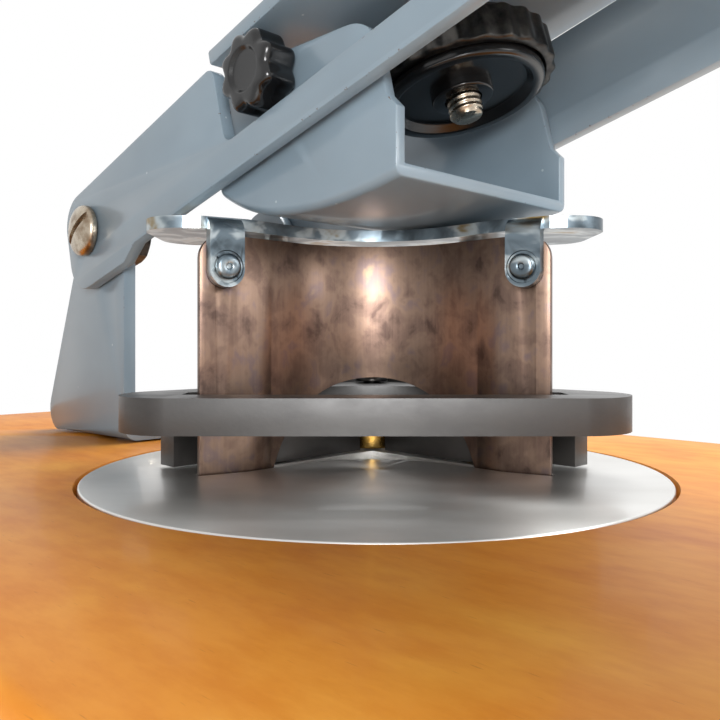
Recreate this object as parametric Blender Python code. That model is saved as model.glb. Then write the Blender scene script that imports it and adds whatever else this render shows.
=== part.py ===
# Desk corner rounder: a curved blade in a round steel bed, pressed by a lever with a rocker.
# Metres, +Z up. The origin is the middle of the bed disc's face, where the paper lies.
# +X is to the right, +Y to the back, and the lever runs along Y with its handle at the front.
# The paper's corner points to +X and +Y, so the blade is built across and along that diagonal:
# u runs across it and v along it, away from the paper.

import bpy
import bmesh
import math
from mathutils import Matrix, Vector

for item in list(bpy.data.objects):
    bpy.data.objects.remove(item, do_unlink=True)

mm = 0.001

# Shared clearances and counts
seat_gap = 0.3 * mm          # between pieces that rest on each other
bore_gap = 0.2 * mm          # round a screw or a pin in its hole
overrun = 3.0 * mm           # how far a cutter runs past what it cuts
round_steps = 16             # sides of a small round piece
disc_steps = 56              # sides of the bed disc
fillet_steps = 4             # sides of a rounded corner
bevel_steps = 2              # sides of a rounded edge
half_share = 0.5
nut_chamfer_share = 0.125    # of a nut's height

# Wooden base
base_width = 120.0 * mm
base_back = 114.0 * mm       # from the disc's middle to the back edge
base_front = 104.0 * mm      # from the disc's middle to the front edge
base_height = 20.0 * mm
base_corner = 6.0 * mm
base_edge = 1.2 * mm         # rounding along the top and bottom edges
chute_radius = 27.0 * mm     # hole for the cut-off corners
chute_shift = 6.0 * mm       # its middle, along v

# Rubber feet
foot_radius = 8.0 * mm
foot_height = 5.0 * mm
foot_inset = 16.0 * mm
foot_rim = 1.5 * mm
foot_screw_shank = 1.5 * mm
foot_screw_head = 3.2 * mm
foot_screw_head_height = 1.4 * mm
foot_screw_length = 9.0 * mm
foot_well_depth = 2.4 * mm

# Bed disc
disc_radius = 37.5 * mm
disc_height = 6.0 * mm
disc_side_gap = 0.5 * mm
bed_screw_ring = 31.8 * mm
bed_screw_angles = (-90.0, 10.0, 170.0)     # degrees from u
bed_screw_shank = 1.6 * mm
bed_screw_head = 3.6 * mm
bed_screw_head_height = 1.8 * mm
bed_screw_length = 9.0 * mm
bed_screw_bite = 4.2 * mm    # thread held in the disc

# Blade
blade_thickness = 1.0 * mm
corner_radius = 16.0 * mm    # radius that the blade cuts
corner_middle = -6.9 * mm    # middle of that radius, along v
leg_length = 8.4 * mm
wing_length = 6.2 * mm
leg_angle = math.radians(45.0)
wing_angle = math.radians(29.0)
blade_top = 30.2 * mm
heel_depth = 2.5 * mm        # how deep the heels stand in the die at rest
arch_radius = 17.2 * mm
arch_top = 11.9 * mm
blade_corner = 2.5 * mm
die_gap = 0.3 * mm           # between the blade and the die round it
arc_steps = 16
arch_steps = 14

# Edge guides under the guard
guide_height = 5.3 * mm
guide_stop = 12.3 * mm       # inner face, where the paper's edge stops
guide_post = 18.7 * mm       # inner face of the front post
guide_outer = 22.0 * mm
guide_post_end = 19.3 * mm
guide_stop_end = 12.5 * mm
guide_back_end = 4.5 * mm

# Guard frame
guard_bottom = 5.9 * mm
guard_height = 4.5 * mm
guard_front = 12.1 * mm      # front face, before the middle along v
guard_side = 22.0 * mm       # outer faces at +X and +Y
guard_front_corner = 7.5 * mm
guard_back_corner = 8.0 * mm
guard_edge = 0.8 * mm
guard_slot_front = 5.9 * mm
guard_slot_side = 24.6 * mm
guard_slot_back = 3.3 * mm   # behind the blade

# Screws of the guard, and the brass spacer under its back corner
guard_screw_across = 17.6 * mm
guard_screw_along = 13.2 * mm
guard_screw_shank = 1.3 * mm
guard_screw_head = 2.6 * mm
guard_screw_head_height = 1.4 * mm
spacer_radius = 4.6 * mm
spacer_place = 21.4 * mm     # along v

# Head plate with its ears and tabs
head_bottom = 31.6 * mm
head_thickness = 1.6 * mm
head_front_gap = 0.9 * mm    # its front edge before the blade's middle
ear_reach = 30.3 * mm
ear_front = 5.6 * mm
ear_back = 12.3 * mm
ear_corner = 5.0 * mm
ear_neck = 24.5 * mm
head_back = 17.4 * mm
head_back_half = 17.5 * mm
tab_width = 5.0 * mm
tab_bottom = 24.1 * mm
tab_bend = 0.7 * mm
rivet_height = 26.7 * mm
rivet_shank = 0.9 * mm
rivet_head = 1.65 * mm
rivet_head_height = 0.8 * mm
rivet_dimple = 0.6 * mm
rivet_dimple_depth = 0.4 * mm

# Guide pins, bushes and return springs
pin_across = 18.0 * mm
pin_along = -4.0 * mm
pin_radius = 1.5 * mm
pin_below = 2.6 * mm         # how far they stand out under the disc
pin_flush = 0.1 * mm
pin_collar = 2.9 * mm
pin_collar_height = 1.2 * mm
clip_radius = 3.2 * mm
clip_height = 0.8 * mm
bush_wall = 0.8 * mm
bush_flange = 3.6 * mm
bush_flange_height = 0.6 * mm
spring_radius = 2.65 * mm
spring_wire = 0.35 * mm
spring_end_gap = 0.07 * mm   # between its end turns and their seats
spring_turns = 6
spring_points = 8            # points in one turn

# Upright bracket
lever_middle = 7.1 * mm      # middle plane of lever and bracket, along X
bracket_half = 18.8 * mm
sheet = 2.1 * mm             # steel sheet of bracket and lever
bracket_front = 46.7 * mm
bracket_back = 78.0 * mm
bracket_top_radius = 8.0 * mm
bracket_corner = 4.0 * mm
bracket_screw_across = 10.0 * mm
bracket_screw_front = 53.0 * mm
bracket_screw_back = 70.0 * mm
bracket_screw_shank = 1.7 * mm
bracket_screw_head = 3.8 * mm
bracket_screw_head_height = 2.0 * mm
bracket_screw_length = 14.0 * mm

# Pivot
pivot_y = 54.6 * mm
pivot_z = 36.0 * mm
pivot_radius = 3.0 * mm
pivot_head = 4.3 * mm
pivot_head_height = 2.2 * mm
pivot_nut_flats = 10.0 * mm
pivot_nut_height = 4.5 * mm
slot_width = 1.1 * mm
slot_depth = 1.0 * mm

# Lever, set out along itself from the pivot (s) and square to itself (n)
lever_rise = math.radians(15.1)
lever_half = 19.25 * mm      # middle plane to the inner face of a side plate
lever_low = 7.4 * mm         # lower edge, below the line through the pivot
lever_high = 8.6 * mm
lever_ear_low = 9.3 * mm
lever_ear_front = 10.5 * mm
lever_ear_run = 4.0 * mm
lever_ear_back = 7.9 * mm
lever_ear_corner = 5.5 * mm
notch_start = 41.0 * mm
notch_end = 80.0 * mm
notch_low = 3.0 * mm         # upper edge of the strip under the notch
notch_corner = 1.6 * mm
lever_length = 175.0 * mm    # pivot to handle
lever_end = 12.0 * mm
web_start = 40.5 * mm
web_end = 128.0 * mm

# Handle
grip_radius = 10.0 * mm
grip_crown = 1.6 * mm
handle_rod = 3.0 * mm
handle_head = 5.5 * mm
handle_head_height = 2.6 * mm
handle_nut_flats = 10.0 * mm
handle_nut_height = 4.5 * mm

# Rocker that presses the head plate
rocker_half = 18.1 * mm      # half width
rocker_sheet = 1.5 * mm
rocker_lowest = 4.0 * mm     # place of its lowest line along Y
rocker_front_radius = 72.0 * mm
rocker_back_radius = 32.0 * mm
rocker_front = 14.0 * mm     # front end, before the disc's middle
rocker_back = 19.9 * mm
rocker_step_z = 43.6 * mm
rocker_step = 1.5 * mm
rocker_corner_z = 54.7 * mm     # the flanges' upper front corner
rocker_corner = 5.0 * mm
rocker_front_lean_share = 0.25     # backward lean of the front edge above its step
rocker_lean_share = 0.1     # forward lean of the back edge, along Y for each Z
rocker_bend = 1.2 * mm
rocker_arc_steps = 9

# Adjusting wheel on its stud
wheel_place = 65.3 * mm      # along the lever
wheel_low = 4.1 * mm         # underside, below the line through the pivot
wheel_radius = 12.5 * mm
wheel_steps = 32
wheel_height = 7.0 * mm
wheel_rim_wall = 1.4 * mm
wheel_rim_height = 4.6 * mm
wheel_knurls = 24
wheel_knurl_depth = 0.35 * mm
wheel_recess = 8.6 * mm
wheel_recess_depth = 1.2 * mm
stud_radius = 2.3 * mm
stud_low = 6.7 * mm
stud_tip = 0.5 * mm
stud_over = 6.5 * mm         # above the web
stud_nut_flats = 8.0 * mm
stud_nut_height = 3.2 * mm

# Clamp knob on the rocker's left flange
knob_place = 49.5 * mm
knob_rise = 2.8 * mm
knob_radius = 5.3 * mm
knob_height = 5.0 * mm
knob_edge = 0.8 * mm
knob_lobes = 8
knob_lobe_depth = 0.8 * mm
clamp_screw_radius = 1.5 * mm
clamp_seat = 3.4 * mm     # how deep the screw sits in the knob
clamp_nut_flats = 5.5 * mm
clamp_nut_height = 2.4 * mm

# Worked-out levels and places
foot_top = -base_height - seat_gap
guard_top = guard_bottom + guard_height
head_top = head_bottom + head_thickness
rocker_bottom = head_top + seat_gap
web_low = lever_high + seat_gap
web_high = web_low + sheet
tab_outer = blade_thickness * half_share + seat_gap + head_thickness
arc_half = corner_radius * leg_angle
leg_end = arc_half + leg_length
wing_end = leg_end + wing_length


def material(name, colour, roughness, metallic):
    made = bpy.data.materials.new(name)
    made.use_nodes = True
    shader = made.node_tree.nodes["Principled BSDF"]
    shader.inputs["Base Color"].default_value = (*colour, 1.0)
    shader.inputs["Roughness"].default_value = roughness
    shader.inputs["Metallic"].default_value = metallic
    made.diffuse_color = (*colour, 1.0)
    return made


varnished_wood = material("varnished_wood", (0.62, 0.25, 0.05), 0.3, 0.0)
ground_steel = material("ground_steel", (0.60, 0.61, 0.61), 0.25, 1.0)
blade_steel = material("blade_steel", (0.36, 0.27, 0.22), 0.22, 1.0)
zinc_plate = material("zinc_plate", (0.55, 0.58, 0.60), 0.22, 1.0)
black_paint = material("black_paint", (0.02, 0.02, 0.022), 0.45, 0.0)
grey_enamel = material("grey_enamel", (0.16, 0.22, 0.27), 0.25, 0.0)
black_plastic = material("black_plastic", (0.015, 0.015, 0.016), 0.4, 0.0)
brass = material("brass", (0.55, 0.38, 0.14), 0.3, 1.0)
spring_steel = material("spring_steel", (0.12, 0.12, 0.13), 0.35, 1.0)
black_rubber = material("black_rubber", (0.02, 0.02, 0.02), 0.8, 0.0)
bolt_steel = material("bolt_steel", (0.50, 0.46, 0.40), 0.3, 1.0)


# Outlines and places

def across(u, v):
    # A place on the diagonal's own axes, as X and Y
    turn = math.radians(45.0)
    return (u * math.cos(turn) + v * math.sin(turn), v * math.cos(turn) - u * math.sin(turn))


def along_lever(s, n):
    # A place along and square to the raised lever, as Y and Z
    y = pivot_y - s * math.cos(lever_rise) + n * math.sin(lever_rise)
    z = pivot_z + s * math.sin(lever_rise) + n * math.cos(lever_rise)
    return (y, z)


lever_up = (0, math.sin(lever_rise), math.cos(lever_rise))


def rounded(corners):
    # An outline from (x, y, radius) corners, each turned into a short arc
    points = []
    count = len(corners)
    for index, (x, y, radius) in enumerate(corners):
        here = Vector((x, y))
        before = Vector(corners[index - 1][:2]) - here
        after = Vector(corners[(index + 1) % count][:2]) - here
        if radius == 0:
            points.append(tuple(here))
            continue
        half_turn = before.angle(after) * half_share
        reach = radius / math.tan(half_turn)
        bisector = (before.normalized() + after.normalized()).normalized()
        middle = here + bisector * (radius / math.sin(half_turn))
        first = here + before.normalized() * reach - middle
        last = here + after.normalized() * reach - middle
        sweep = math.atan2(first.x * last.y - first.y * last.x, first.dot(last))
        for step in range(fillet_steps + 1):
            angle = sweep * step / fillet_steps
            turned_point = Matrix.Rotation(angle, 2) @ first
            points.append(tuple(middle + turned_point))
    return points


def blade_place(distance, offset):
    # A place in the blade's plan: distance along it from its middle, offset behind its middle line
    side = 1 if distance >= 0 else -1
    run = abs(distance)
    if run <= arc_half:
        angle = run / corner_radius
        reach = corner_radius + offset
        return (side * reach * math.sin(angle), corner_middle + reach * math.cos(angle))
    start_v = corner_middle + corner_radius * math.cos(leg_angle)
    leg_start = Vector((corner_radius * math.sin(leg_angle), start_v))
    leg_way = Vector((math.cos(leg_angle), -math.sin(leg_angle)))
    leg_back = Vector((math.sin(leg_angle), math.cos(leg_angle)))
    bend = leg_start + leg_way * leg_length
    wing_way = Vector((math.cos(wing_angle), -math.sin(wing_angle)))
    wing_back = Vector((math.sin(wing_angle), math.cos(wing_angle)))
    if run < leg_end:
        place = leg_start + leg_way * (run - arc_half) + leg_back * offset
    elif run == leg_end:
        mean = (leg_back + wing_back).normalized()
        place = bend + mean * (offset / mean.dot(leg_back))
    else:
        place = bend + wing_way * (run - leg_end) + wing_back * offset
    return (side * place.x, place.y)


def blade_distances():
    # Where the blade's plan has its points, from its left end to its right end
    half = [arc_half * step / (arc_steps * half_share) for step in range(int(arc_steps * half_share) + 1)]
    half += [leg_end, wing_end]
    return [-value for value in reversed(half[1:])] + half


def blade_line(offset, extra):
    # The blade's plan line moved back by offset, its ends longer by extra
    points = []
    for distance in blade_distances():
        if abs(distance) == wing_end:
            distance += extra if distance > 0 else -extra
        points.append(blade_place(distance, offset))
    return points


# Solids

def finish(name, mesh_data, surface, smooth):
    mesh = bpy.data.meshes.new(name)
    mesh_data.normal_update()
    bmesh.ops.recalc_face_normals(mesh_data, faces=mesh_data.faces[:])
    mesh_data.to_mesh(mesh)
    mesh_data.free()
    made = bpy.data.objects.new(name, mesh)
    bpy.context.collection.objects.link(made)
    if surface:
        mesh.materials.append(surface)
    if smooth:
        mesh.shade_smooth()
        mesh.set_sharp_from_angle(angle=math.radians(35.0))
    return made


def prism(name, outline, low, high, surface=None, way="Z", bevel=0, bevel_test=None):
    # A flat outline given a thickness: along Z from (x, y), along X from (y, z), or along Y from (x, z)
    orders = {"Z": lambda a, b, h: (a, b, h), "X": lambda a, b, h: (h, a, b), "Y": lambda a, b, h: (a, h, b)}
    order = orders[way]
    mesh = bmesh.new()
    bottom = [mesh.verts.new(order(a, b, low)) for a, b in outline]
    top = [mesh.verts.new(order(a, b, high)) for a, b in outline]
    mesh.faces.new(bottom)
    mesh.faces.new(list(reversed(top)))
    for index in range(len(outline)):
        after = (index + 1) % len(outline)
        mesh.faces.new([bottom[index], top[index], top[after], bottom[after]])
    bmesh.ops.recalc_face_normals(mesh, faces=mesh.faces[:])
    if bevel:
        edges = [edge for edge in mesh.edges if bevel_test(edge)]
        bmesh.ops.bevel(mesh, geom=edges, offset=bevel, segments=bevel_steps, profile=half_share,
                        affect="EDGES")
    return finish(name, mesh, surface, False)


def level_edge(edge):
    # True for the edges round the top and bottom of an upright prism
    return edge.verts[0].co.z == edge.verts[1].co.z


def turned(name, profile, surface=None, steps=round_steps, place=(0, 0, 0), way=(0, 0, 1), lobes=None):
    # A profile of (radius, height) points turned about an axis. It closes on itself if it has a bore.
    # lobes(angle) changes the radius of points that carry a third value, the share of it they take.
    mesh = bmesh.new()
    rings = []
    for point in profile:
        radius, height = point[0], point[1]
        share = point[2] if len(point) > 2 else 0
        if radius == 0:
            rings.append([mesh.verts.new((0, 0, height))])
            continue
        ring = []
        for step in range(steps):
            angle = math.tau * step / steps
            reach = radius * (1 + share * (lobes(angle) - 1)) if lobes else radius
            ring.append(mesh.verts.new((reach * math.cos(angle), reach * math.sin(angle), height)))
        rings.append(ring)
    bored = all(point[0] > 0 for point in profile)
    pairs = list(zip(rings, rings[1:]))
    if bored:
        pairs.append((rings[-1], rings[0]))
    for lower, upper in pairs:
        for step in range(steps):
            after = (step + 1) % steps
            corners = [lower[step % len(lower)], lower[after % len(lower)]]
            corners += [upper[after % len(upper)], upper[step % len(upper)]]
            unique = list(dict.fromkeys(corners))
            mesh.faces.new(unique)
    made = finish(name, mesh, surface, True)
    made.matrix_world = Matrix.Translation(place) @ Vector(way).to_track_quat("Z", "Y").to_matrix().to_4x4()
    return made


def cut(piece, cutter, kind="DIFFERENCE"):
    cutter.hide_render = True
    cutter.display_type = "WIRE"
    boolean = piece.modifiers.new(cutter.name, "BOOLEAN")
    boolean.operation = kind
    boolean.solver = "EXACT"
    boolean.object = cutter


def bore(piece, name, radius, low, high, place, way=(0, 0, 1), steps=round_steps):
    # Cut a round hole from low to high along way, measured from place
    profile = [(0, low), (radius, low), (radius, high), (0, high)]
    cut(piece, turned(name, profile, steps=steps, place=place, way=way))


def hexagon(angle):
    # Corner-to-flat change of a hexagon's radius
    sixth = math.tau / 6
    return 1 / math.cos((angle + sixth * half_share) % sixth - sixth * half_share)


def nut(name, flats, height, bore_radius, surface, place, way):
    flat = flats * half_share
    chamfer = height * nut_chamfer_share
    profile = [(bore_radius, 0), (flat, 0), (flat, chamfer, 1), (flat, height - chamfer, 1), (flat, height)]
    profile.append((bore_radius, height))
    return turned(name, profile, surface, place=place, way=way, lobes=hexagon)


def screw(name, shank, head, head_height, length, surface, place, way):
    # A slotted pan-head screw. place is under its head, and way points out of the head.
    dome = head_height * half_share
    profile = [(0, -length), (shank * half_share, -length), (shank, -length + shank), (shank, 0), (head, 0)]
    profile += [(head, dome), (head - dome * half_share, head_height - dome * half_share)]
    profile += [(head - dome, head_height), (0, head_height)]
    made = turned(name, profile, surface, place=place, way=way)
    depth = min(slot_depth, head_height * half_share)
    width = min(slot_width, head * half_share) * half_share
    long = head + overrun
    outline = [(-long, -width), (long, -width), (long, width), (-long, width)]
    slot = prism(name + "_slot", outline, head_height - depth, head_height + overrun)
    slot.matrix_world = made.matrix_world.copy()
    cut(made, slot)
    return made


def hang(piece, axis):
    # Parent a piece to an axis empty without moving it
    piece.parent = axis
    piece.location = piece.location - axis.location
    return piece


def axis_empty(name, place):
    made = bpy.data.objects.new(name, None)
    made.location = place
    made.empty_display_size = foot_radius
    bpy.context.collection.objects.link(made)
    return made


# Wooden base with its disc recess, chute and screw holes

def base_outline():
    half = base_width * half_share
    corners = [(-half, -base_front), (half, -base_front), (half, base_back), (-half, base_back)]
    return rounded([(x, y, base_corner) for x, y in corners])


def bed_screw_places():
    for angle in bed_screw_angles:
        turn = math.radians(angle)
        yield across(bed_screw_ring * math.cos(turn), bed_screw_ring * math.sin(turn))


def foot_places():
    half = base_width * half_share - foot_inset
    for x in (-half, half):
        for y in (-base_front + foot_inset, base_back - foot_inset):
            yield (x, y)


def bracket_screw_places():
    for side in (-1, 1):
        for y in (bracket_screw_front, bracket_screw_back):
            yield (lever_middle + side * bracket_screw_across, y)


bed_head_level = -disc_height - seat_gap + bed_screw_bite - bed_screw_length


def build_base():
    board = prism("wooden_base", base_outline(), -base_height, 0, varnished_wood, bevel=base_edge,
                  bevel_test=level_edge)
    bore(board, "disc_recess", disc_radius + disc_side_gap, -disc_height - seat_gap, overrun, (0, 0, 0),
         steps=disc_steps)
    chute_x, chute_y = across(0, chute_shift)
    bore(board, "chute_hole", chute_radius, -base_height - overrun, 0, (chute_x, chute_y, 0),
         steps=disc_steps)
    for index, (x, y) in enumerate(bed_screw_places()):
        name = "bed_screw_hole_" + str(index + 1)
        bore(board, name, bed_screw_shank + bore_gap, -base_height - overrun, 0, (x, y, 0))
        bore(board, name + "_head", bed_screw_head + seat_gap, -base_height - overrun,
             bed_head_level + seat_gap, (x, y, 0))
    for index, (x, y) in enumerate(foot_places()):
        depth = foot_screw_length - foot_height + foot_well_depth
        bore(board, "foot_screw_hole_" + str(index + 1), foot_screw_shank + bore_gap,
             -base_height - overrun, -base_height + depth, (x, y, 0))
    for index, (x, y) in enumerate(bracket_screw_places()):
        depth = bracket_screw_length - sheet
        bore(board, "bracket_screw_hole_" + str(index + 1), bracket_screw_shank + bore_gap, -depth,
             overrun, (x, y, 0))
    return board


def build_feet():
    for index, (x, y) in enumerate(foot_places()):
        number = str(index + 1)
        bore_radius = foot_screw_shank + bore_gap
        well = foot_screw_head + seat_gap
        low = foot_top - foot_height
        profile = [(bore_radius, foot_top), (foot_radius, foot_top), (foot_radius - foot_rim, low)]
        profile += [(well, low), (well, low + foot_well_depth), (bore_radius, low + foot_well_depth)]
        turned("foot_" + number, profile, black_rubber, place=(x, y, 0))
        screw("foot_screw_" + number, foot_screw_shank, foot_screw_head, foot_screw_head_height,
              foot_screw_length - foot_well_depth, bolt_steel,
              (x, y, low + foot_well_depth - seat_gap), (0, 0, -1))


# Bed disc, let flush into the base, with the die opening

def die_outline():
    # In front it follows the blade, and behind it runs on along both legs to the paper's corner
    front = blade_line(-blade_thickness * half_share - die_gap, die_gap)
    back_offset = blade_thickness * half_share + die_gap
    right_end = blade_place(wing_end + die_gap, back_offset)
    right_bend = blade_place(leg_end, back_offset)
    corner = corner_middle + (corner_radius + back_offset) / math.cos(leg_angle)
    back = [right_end, right_bend, (0, corner)]
    back += [(-right_bend[0], right_bend[1]), (-right_end[0], right_end[1])]
    return [across(u, v) for u, v in front + back]


def pin_places():
    return (("left", pin_along, pin_across), ("right", pin_across, pin_along))


def guard_screw_places():
    left = ("left", -guard_screw_along, guard_screw_across)
    right = ("right", guard_screw_across, -guard_screw_along)
    return (left, right, ("rear", *across(0, spacer_place)))


def build_disc():
    profile = [(0, -disc_height), (disc_radius, -disc_height), (disc_radius, 0), (0, 0)]
    disc = turned("bed_disc", profile, ground_steel, steps=disc_steps)
    cut(disc, prism("die_cutter", die_outline(), -disc_height - overrun, overrun))
    for side, x, y in pin_places():
        bore(disc, "disc_bush_hole_" + side, pin_radius + bore_gap + bush_wall + bore_gap,
             -disc_height - overrun, overrun, (x, y, 0))
    for side, x, y in guard_screw_places():
        bore(disc, "disc_guard_hole_" + side, guard_screw_shank + bore_gap, -disc_height - overrun, overrun,
             (x, y, 0))
    for index, (x, y) in enumerate(bed_screw_places()):
        number = str(index + 1)
        bore(disc, "disc_screw_hole_" + number, bed_screw_shank + bore_gap, -disc_height - overrun,
             -disc_height + bed_screw_bite + seat_gap, (x, y, 0))
        screw("bed_screw_" + number, bed_screw_shank, bed_screw_head, bed_screw_head_height,
              bed_screw_length, bolt_steel, (x, y, bed_head_level), (0, 0, -1))


# Blade: a strip bent to the plan, arched between its two heels

def blade_low(distance):
    # Lower edge of the blade at a distance from its middle
    middle = arch_top - arch_radius
    run = abs(distance)
    if run < arch_radius:
        return max(-heel_depth, middle + math.sqrt(arch_radius ** 2 - run ** 2))
    return -heel_depth


def blade_high(distance):
    # Upper edge, rounded off at both ends
    inside = wing_end - abs(distance)
    if inside < blade_corner:
        return blade_top - blade_corner + math.sqrt(blade_corner ** 2 - (blade_corner - inside) ** 2)
    return blade_top


def build_blade():
    stops = set(blade_distances())
    sweep = math.acos((-heel_depth - arch_top + arch_radius) / arch_radius)
    for step in range(1, arch_steps + 1):
        distance = arch_radius * math.sin(sweep * step / arch_steps)
        stops.update((distance, -distance))
    for step in range(1, fillet_steps + 1):
        inside = blade_corner * (1 - math.cos(math.radians(90.0) * step / fillet_steps))
        stops.update((wing_end - inside, inside - wing_end))
    mesh = bmesh.new()
    half = blade_thickness * half_share
    columns = []
    for distance in sorted(stops):
        column = []
        for offset, level in ((-half, 0), (-half, 1), (half, 1), (half, 0)):
            x, y = across(*blade_place(distance, offset))
            height = blade_high(distance) if level else blade_low(distance)
            column.append(mesh.verts.new((x, y, height)))
        columns.append(column)
    for before, after in zip(columns, columns[1:]):
        for index in range(4):
            following = (index + 1) % 4
            mesh.faces.new([before[index], after[index], after[following], before[following]])
    mesh.faces.new(columns[0])
    mesh.faces.new(list(reversed(columns[-1])))
    blade = finish("blade", mesh, blade_steel, True)
    for side, place, way in rivet_places():
        bore(blade, "blade_rivet_hole_" + side, rivet_shank + bore_gap, -overrun, overrun, place, way)
    return blade


# Edge guides, guard frame, its screws and the brass spacer

def guide_outline(left):
    corners = [(-guide_post_end, guide_post), (-guide_stop_end, guide_post), (-guide_stop_end, guide_stop)]
    corners += [(guide_back_end, guide_stop), (guide_back_end, guide_outer), (-guide_post_end, guide_outer)]
    return corners if left else [(y, x) for x, y in corners]


def guard_outline():
    # A right-angled corner plate: its long side faces the paper, its short sides lie along X and Y
    back = guard_side * math.sqrt(2)
    front = -guard_front
    corners = [(front - back, front, guard_front_corner), (back - front, front, guard_front_corner)]
    corners.append((0, back, guard_back_corner))
    return [across(u, v) for u, v in rounded(corners)]


def guard_slot_outline():
    # Straight in front, and a steady distance behind the blade
    back = blade_line(guard_slot_back, 0)[1:-1]
    front = -guard_slot_front
    side_v = blade_place(wing_end, guard_slot_back)[1]
    left = [(-guard_slot_side, front), (-guard_slot_side, side_v)]
    right = [(guard_slot_side, side_v), (guard_slot_side, front)]
    return [across(u, v) for u, v in left + back + right]


def build_guard():
    for side in ("left", "right"):
        guide = prism("edge_guide_" + side, guide_outline(side == "left"), seat_gap, seat_gap + guide_height,
                      black_paint)
        for name, x, y in pin_places():
            if name == side:
                bore(guide, "guide_bush_hole_" + side, pin_radius + bore_gap + bush_wall + bore_gap,
                     -overrun, guard_top, (x, y, 0))
        for name, x, y in guard_screw_places():
            if name == side:
                bore(guide, "guide_screw_hole_" + side, guard_screw_shank + bore_gap, -overrun, guard_top,
                     (x, y, 0))
    guard = prism("guard_frame", guard_outline(), guard_bottom, guard_top, black_paint, bevel=guard_edge,
                  bevel_test=level_edge)
    cut(guard, prism("guard_slot_cutter", guard_slot_outline(), guard_bottom - overrun, guard_top + overrun))
    for side, x, y in pin_places():
        bore(guard, "guard_bush_hole_" + side, pin_radius + bore_gap + bush_wall + bore_gap, 0,
             guard_top + overrun, (x, y, 0))
    length = guard_top + seat_gap + disc_height * half_share
    for side, x, y in guard_screw_places():
        bore(guard, "guard_screw_hole_" + side, guard_screw_shank + bore_gap, 0, guard_top + overrun,
             (x, y, 0))
        screw("guard_screw_" + side, guard_screw_shank, guard_screw_head, guard_screw_head_height, length,
              bolt_steel, (x, y, guard_top + seat_gap), (0, 0, 1))
    x, y = across(0, spacer_place)
    bore_radius = guard_screw_shank + bore_gap
    profile = [(bore_radius, seat_gap), (spacer_radius, seat_gap), (spacer_radius, guard_bottom - seat_gap)]
    profile.append((bore_radius, guard_bottom - seat_gap))
    turned("guard_spacer", profile, brass, place=(x, y, 0))


# Head plate over the blade, with two ears and two tabs bent down on the blade's face

def rivet_places():
    middle = (leg_end + wing_end) * half_share
    for side, sign in (("left", -1), ("right", 1)):
        u, v = blade_place(sign * middle, 0)
        x, y = across(u, v)
        way = Vector(across(-sign * math.sin(wing_angle), -math.cos(wing_angle))).to_3d()
        yield side, Vector((x, y, rivet_height)), way


def head_outline():
    front = blade_line(-head_front_gap, 0)[1:-1]
    end_u, end_v = blade_place(wing_end, -head_front_gap)
    right = [(end_u, end_v, 0), (ear_neck, -ear_front, 0), (ear_reach, -ear_front, ear_corner)]
    right += [(ear_reach, ear_back, ear_corner), (ear_neck, ear_back, 0), (head_back_half, head_back, 0)]
    left = [(-u, v, radius) for u, v, radius in reversed(right)]
    corners = [(u, v, 0) for u, v in front] + right + left
    return [across(u, v) for u, v in rounded(corners)]


def build_tab(side, place, way):
    # The bent strip, as a side view of (distance before the blade's middle, height) made as wide as needed
    inner = tab_outer - head_thickness
    points = [(-head_thickness, head_top), (inner - tab_bend, head_top)]
    outer_radius = tab_bend + head_thickness
    for step in range(fillet_steps + 1):
        angle = math.radians(90.0) * step / fillet_steps
        points.append((inner - tab_bend + outer_radius * math.sin(angle),
                       head_top - outer_radius + outer_radius * math.cos(angle)))
    points += [(tab_outer, tab_bottom - overrun), (inner, tab_bottom - overrun)]
    for step in range(fillet_steps + 1):
        angle = math.radians(90.0) * (1 - step / fillet_steps)
        points.append((inner - tab_bend + tab_bend * math.sin(angle),
                       head_bottom - tab_bend + tab_bend * math.cos(angle)))
    points.append((-head_thickness, head_bottom))
    half = tab_width * half_share
    strip = prism("tab_" + side, points, -half - overrun, half + overrun, way="Y")
    turn = math.atan2(way.y, way.x)
    strip.location = (place.x, place.y, 0)
    strip.rotation_euler = (0, 0, turn)
    # Its width and round end
    low = [(-half, tab_bottom, half), (half, tab_bottom, half)]
    high = [(half, head_top + overrun, 0), (-half, head_top + overrun, 0)]
    outline = prism("tab_outline_" + side, rounded(trim_ends(low) + high), -overrun, tab_outer + overrun,
                    way="X")
    outline.location = strip.location
    outline.rotation_euler = strip.rotation_euler
    cut(strip, outline, "INTERSECT")
    return strip


def trim_ends(corners):
    # Two equal roundings that meet keep a hair of straight edge between them
    return [(x, y, radius - seat_gap) for x, y, radius in corners]


def build_head():
    plate = prism("head_plate", head_outline(), head_bottom, head_top, zinc_plate)
    for side, place, way in rivet_places():
        strip = build_tab(side, place, way)
        cut(plate, strip, "UNION")
        bore(plate, "tab_rivet_hole_" + side, rivet_shank + bore_gap, 0, overrun, place, way)
    for side, x, y in pin_places():
        bore(plate, "head_pin_hole_" + side, pin_radius + bore_gap, 0, head_top + overrun, (x, y, 0))
    return plate


def build_rivets():
    front = tab_outer + seat_gap * half_share
    back = -blade_thickness * half_share - seat_gap * half_share
    pieces = []
    for side, place, way in rivet_places():
        round_off = rivet_head_height * half_share
        profile = [(0, back - rivet_head_height), (rivet_head - round_off, back - rivet_head_height)]
        profile += [(rivet_head, back - round_off), (rivet_head, back), (rivet_shank, back)]
        profile += [(rivet_shank, front), (rivet_head, front), (rivet_head, front + round_off)]
        profile += [(rivet_head - round_off, front + rivet_head_height)]
        profile += [(rivet_dimple, front + rivet_head_height)]
        profile += [(rivet_dimple * half_share, front + rivet_head_height - rivet_dimple_depth)]
        profile += [(0, front + rivet_head_height - rivet_dimple_depth)]
        pieces.append(turned("tab_rivet_" + side, profile, zinc_plate, place=place, way=way))
    return pieces


# Guide pins under the head plate, the clips that stop them, their brass bushes and the return springs

spring_low = guard_top + seat_gap + bush_flange_height + seat_gap
collar_low = head_bottom - seat_gap - pin_collar_height
spring_high = collar_low - seat_gap


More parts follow.
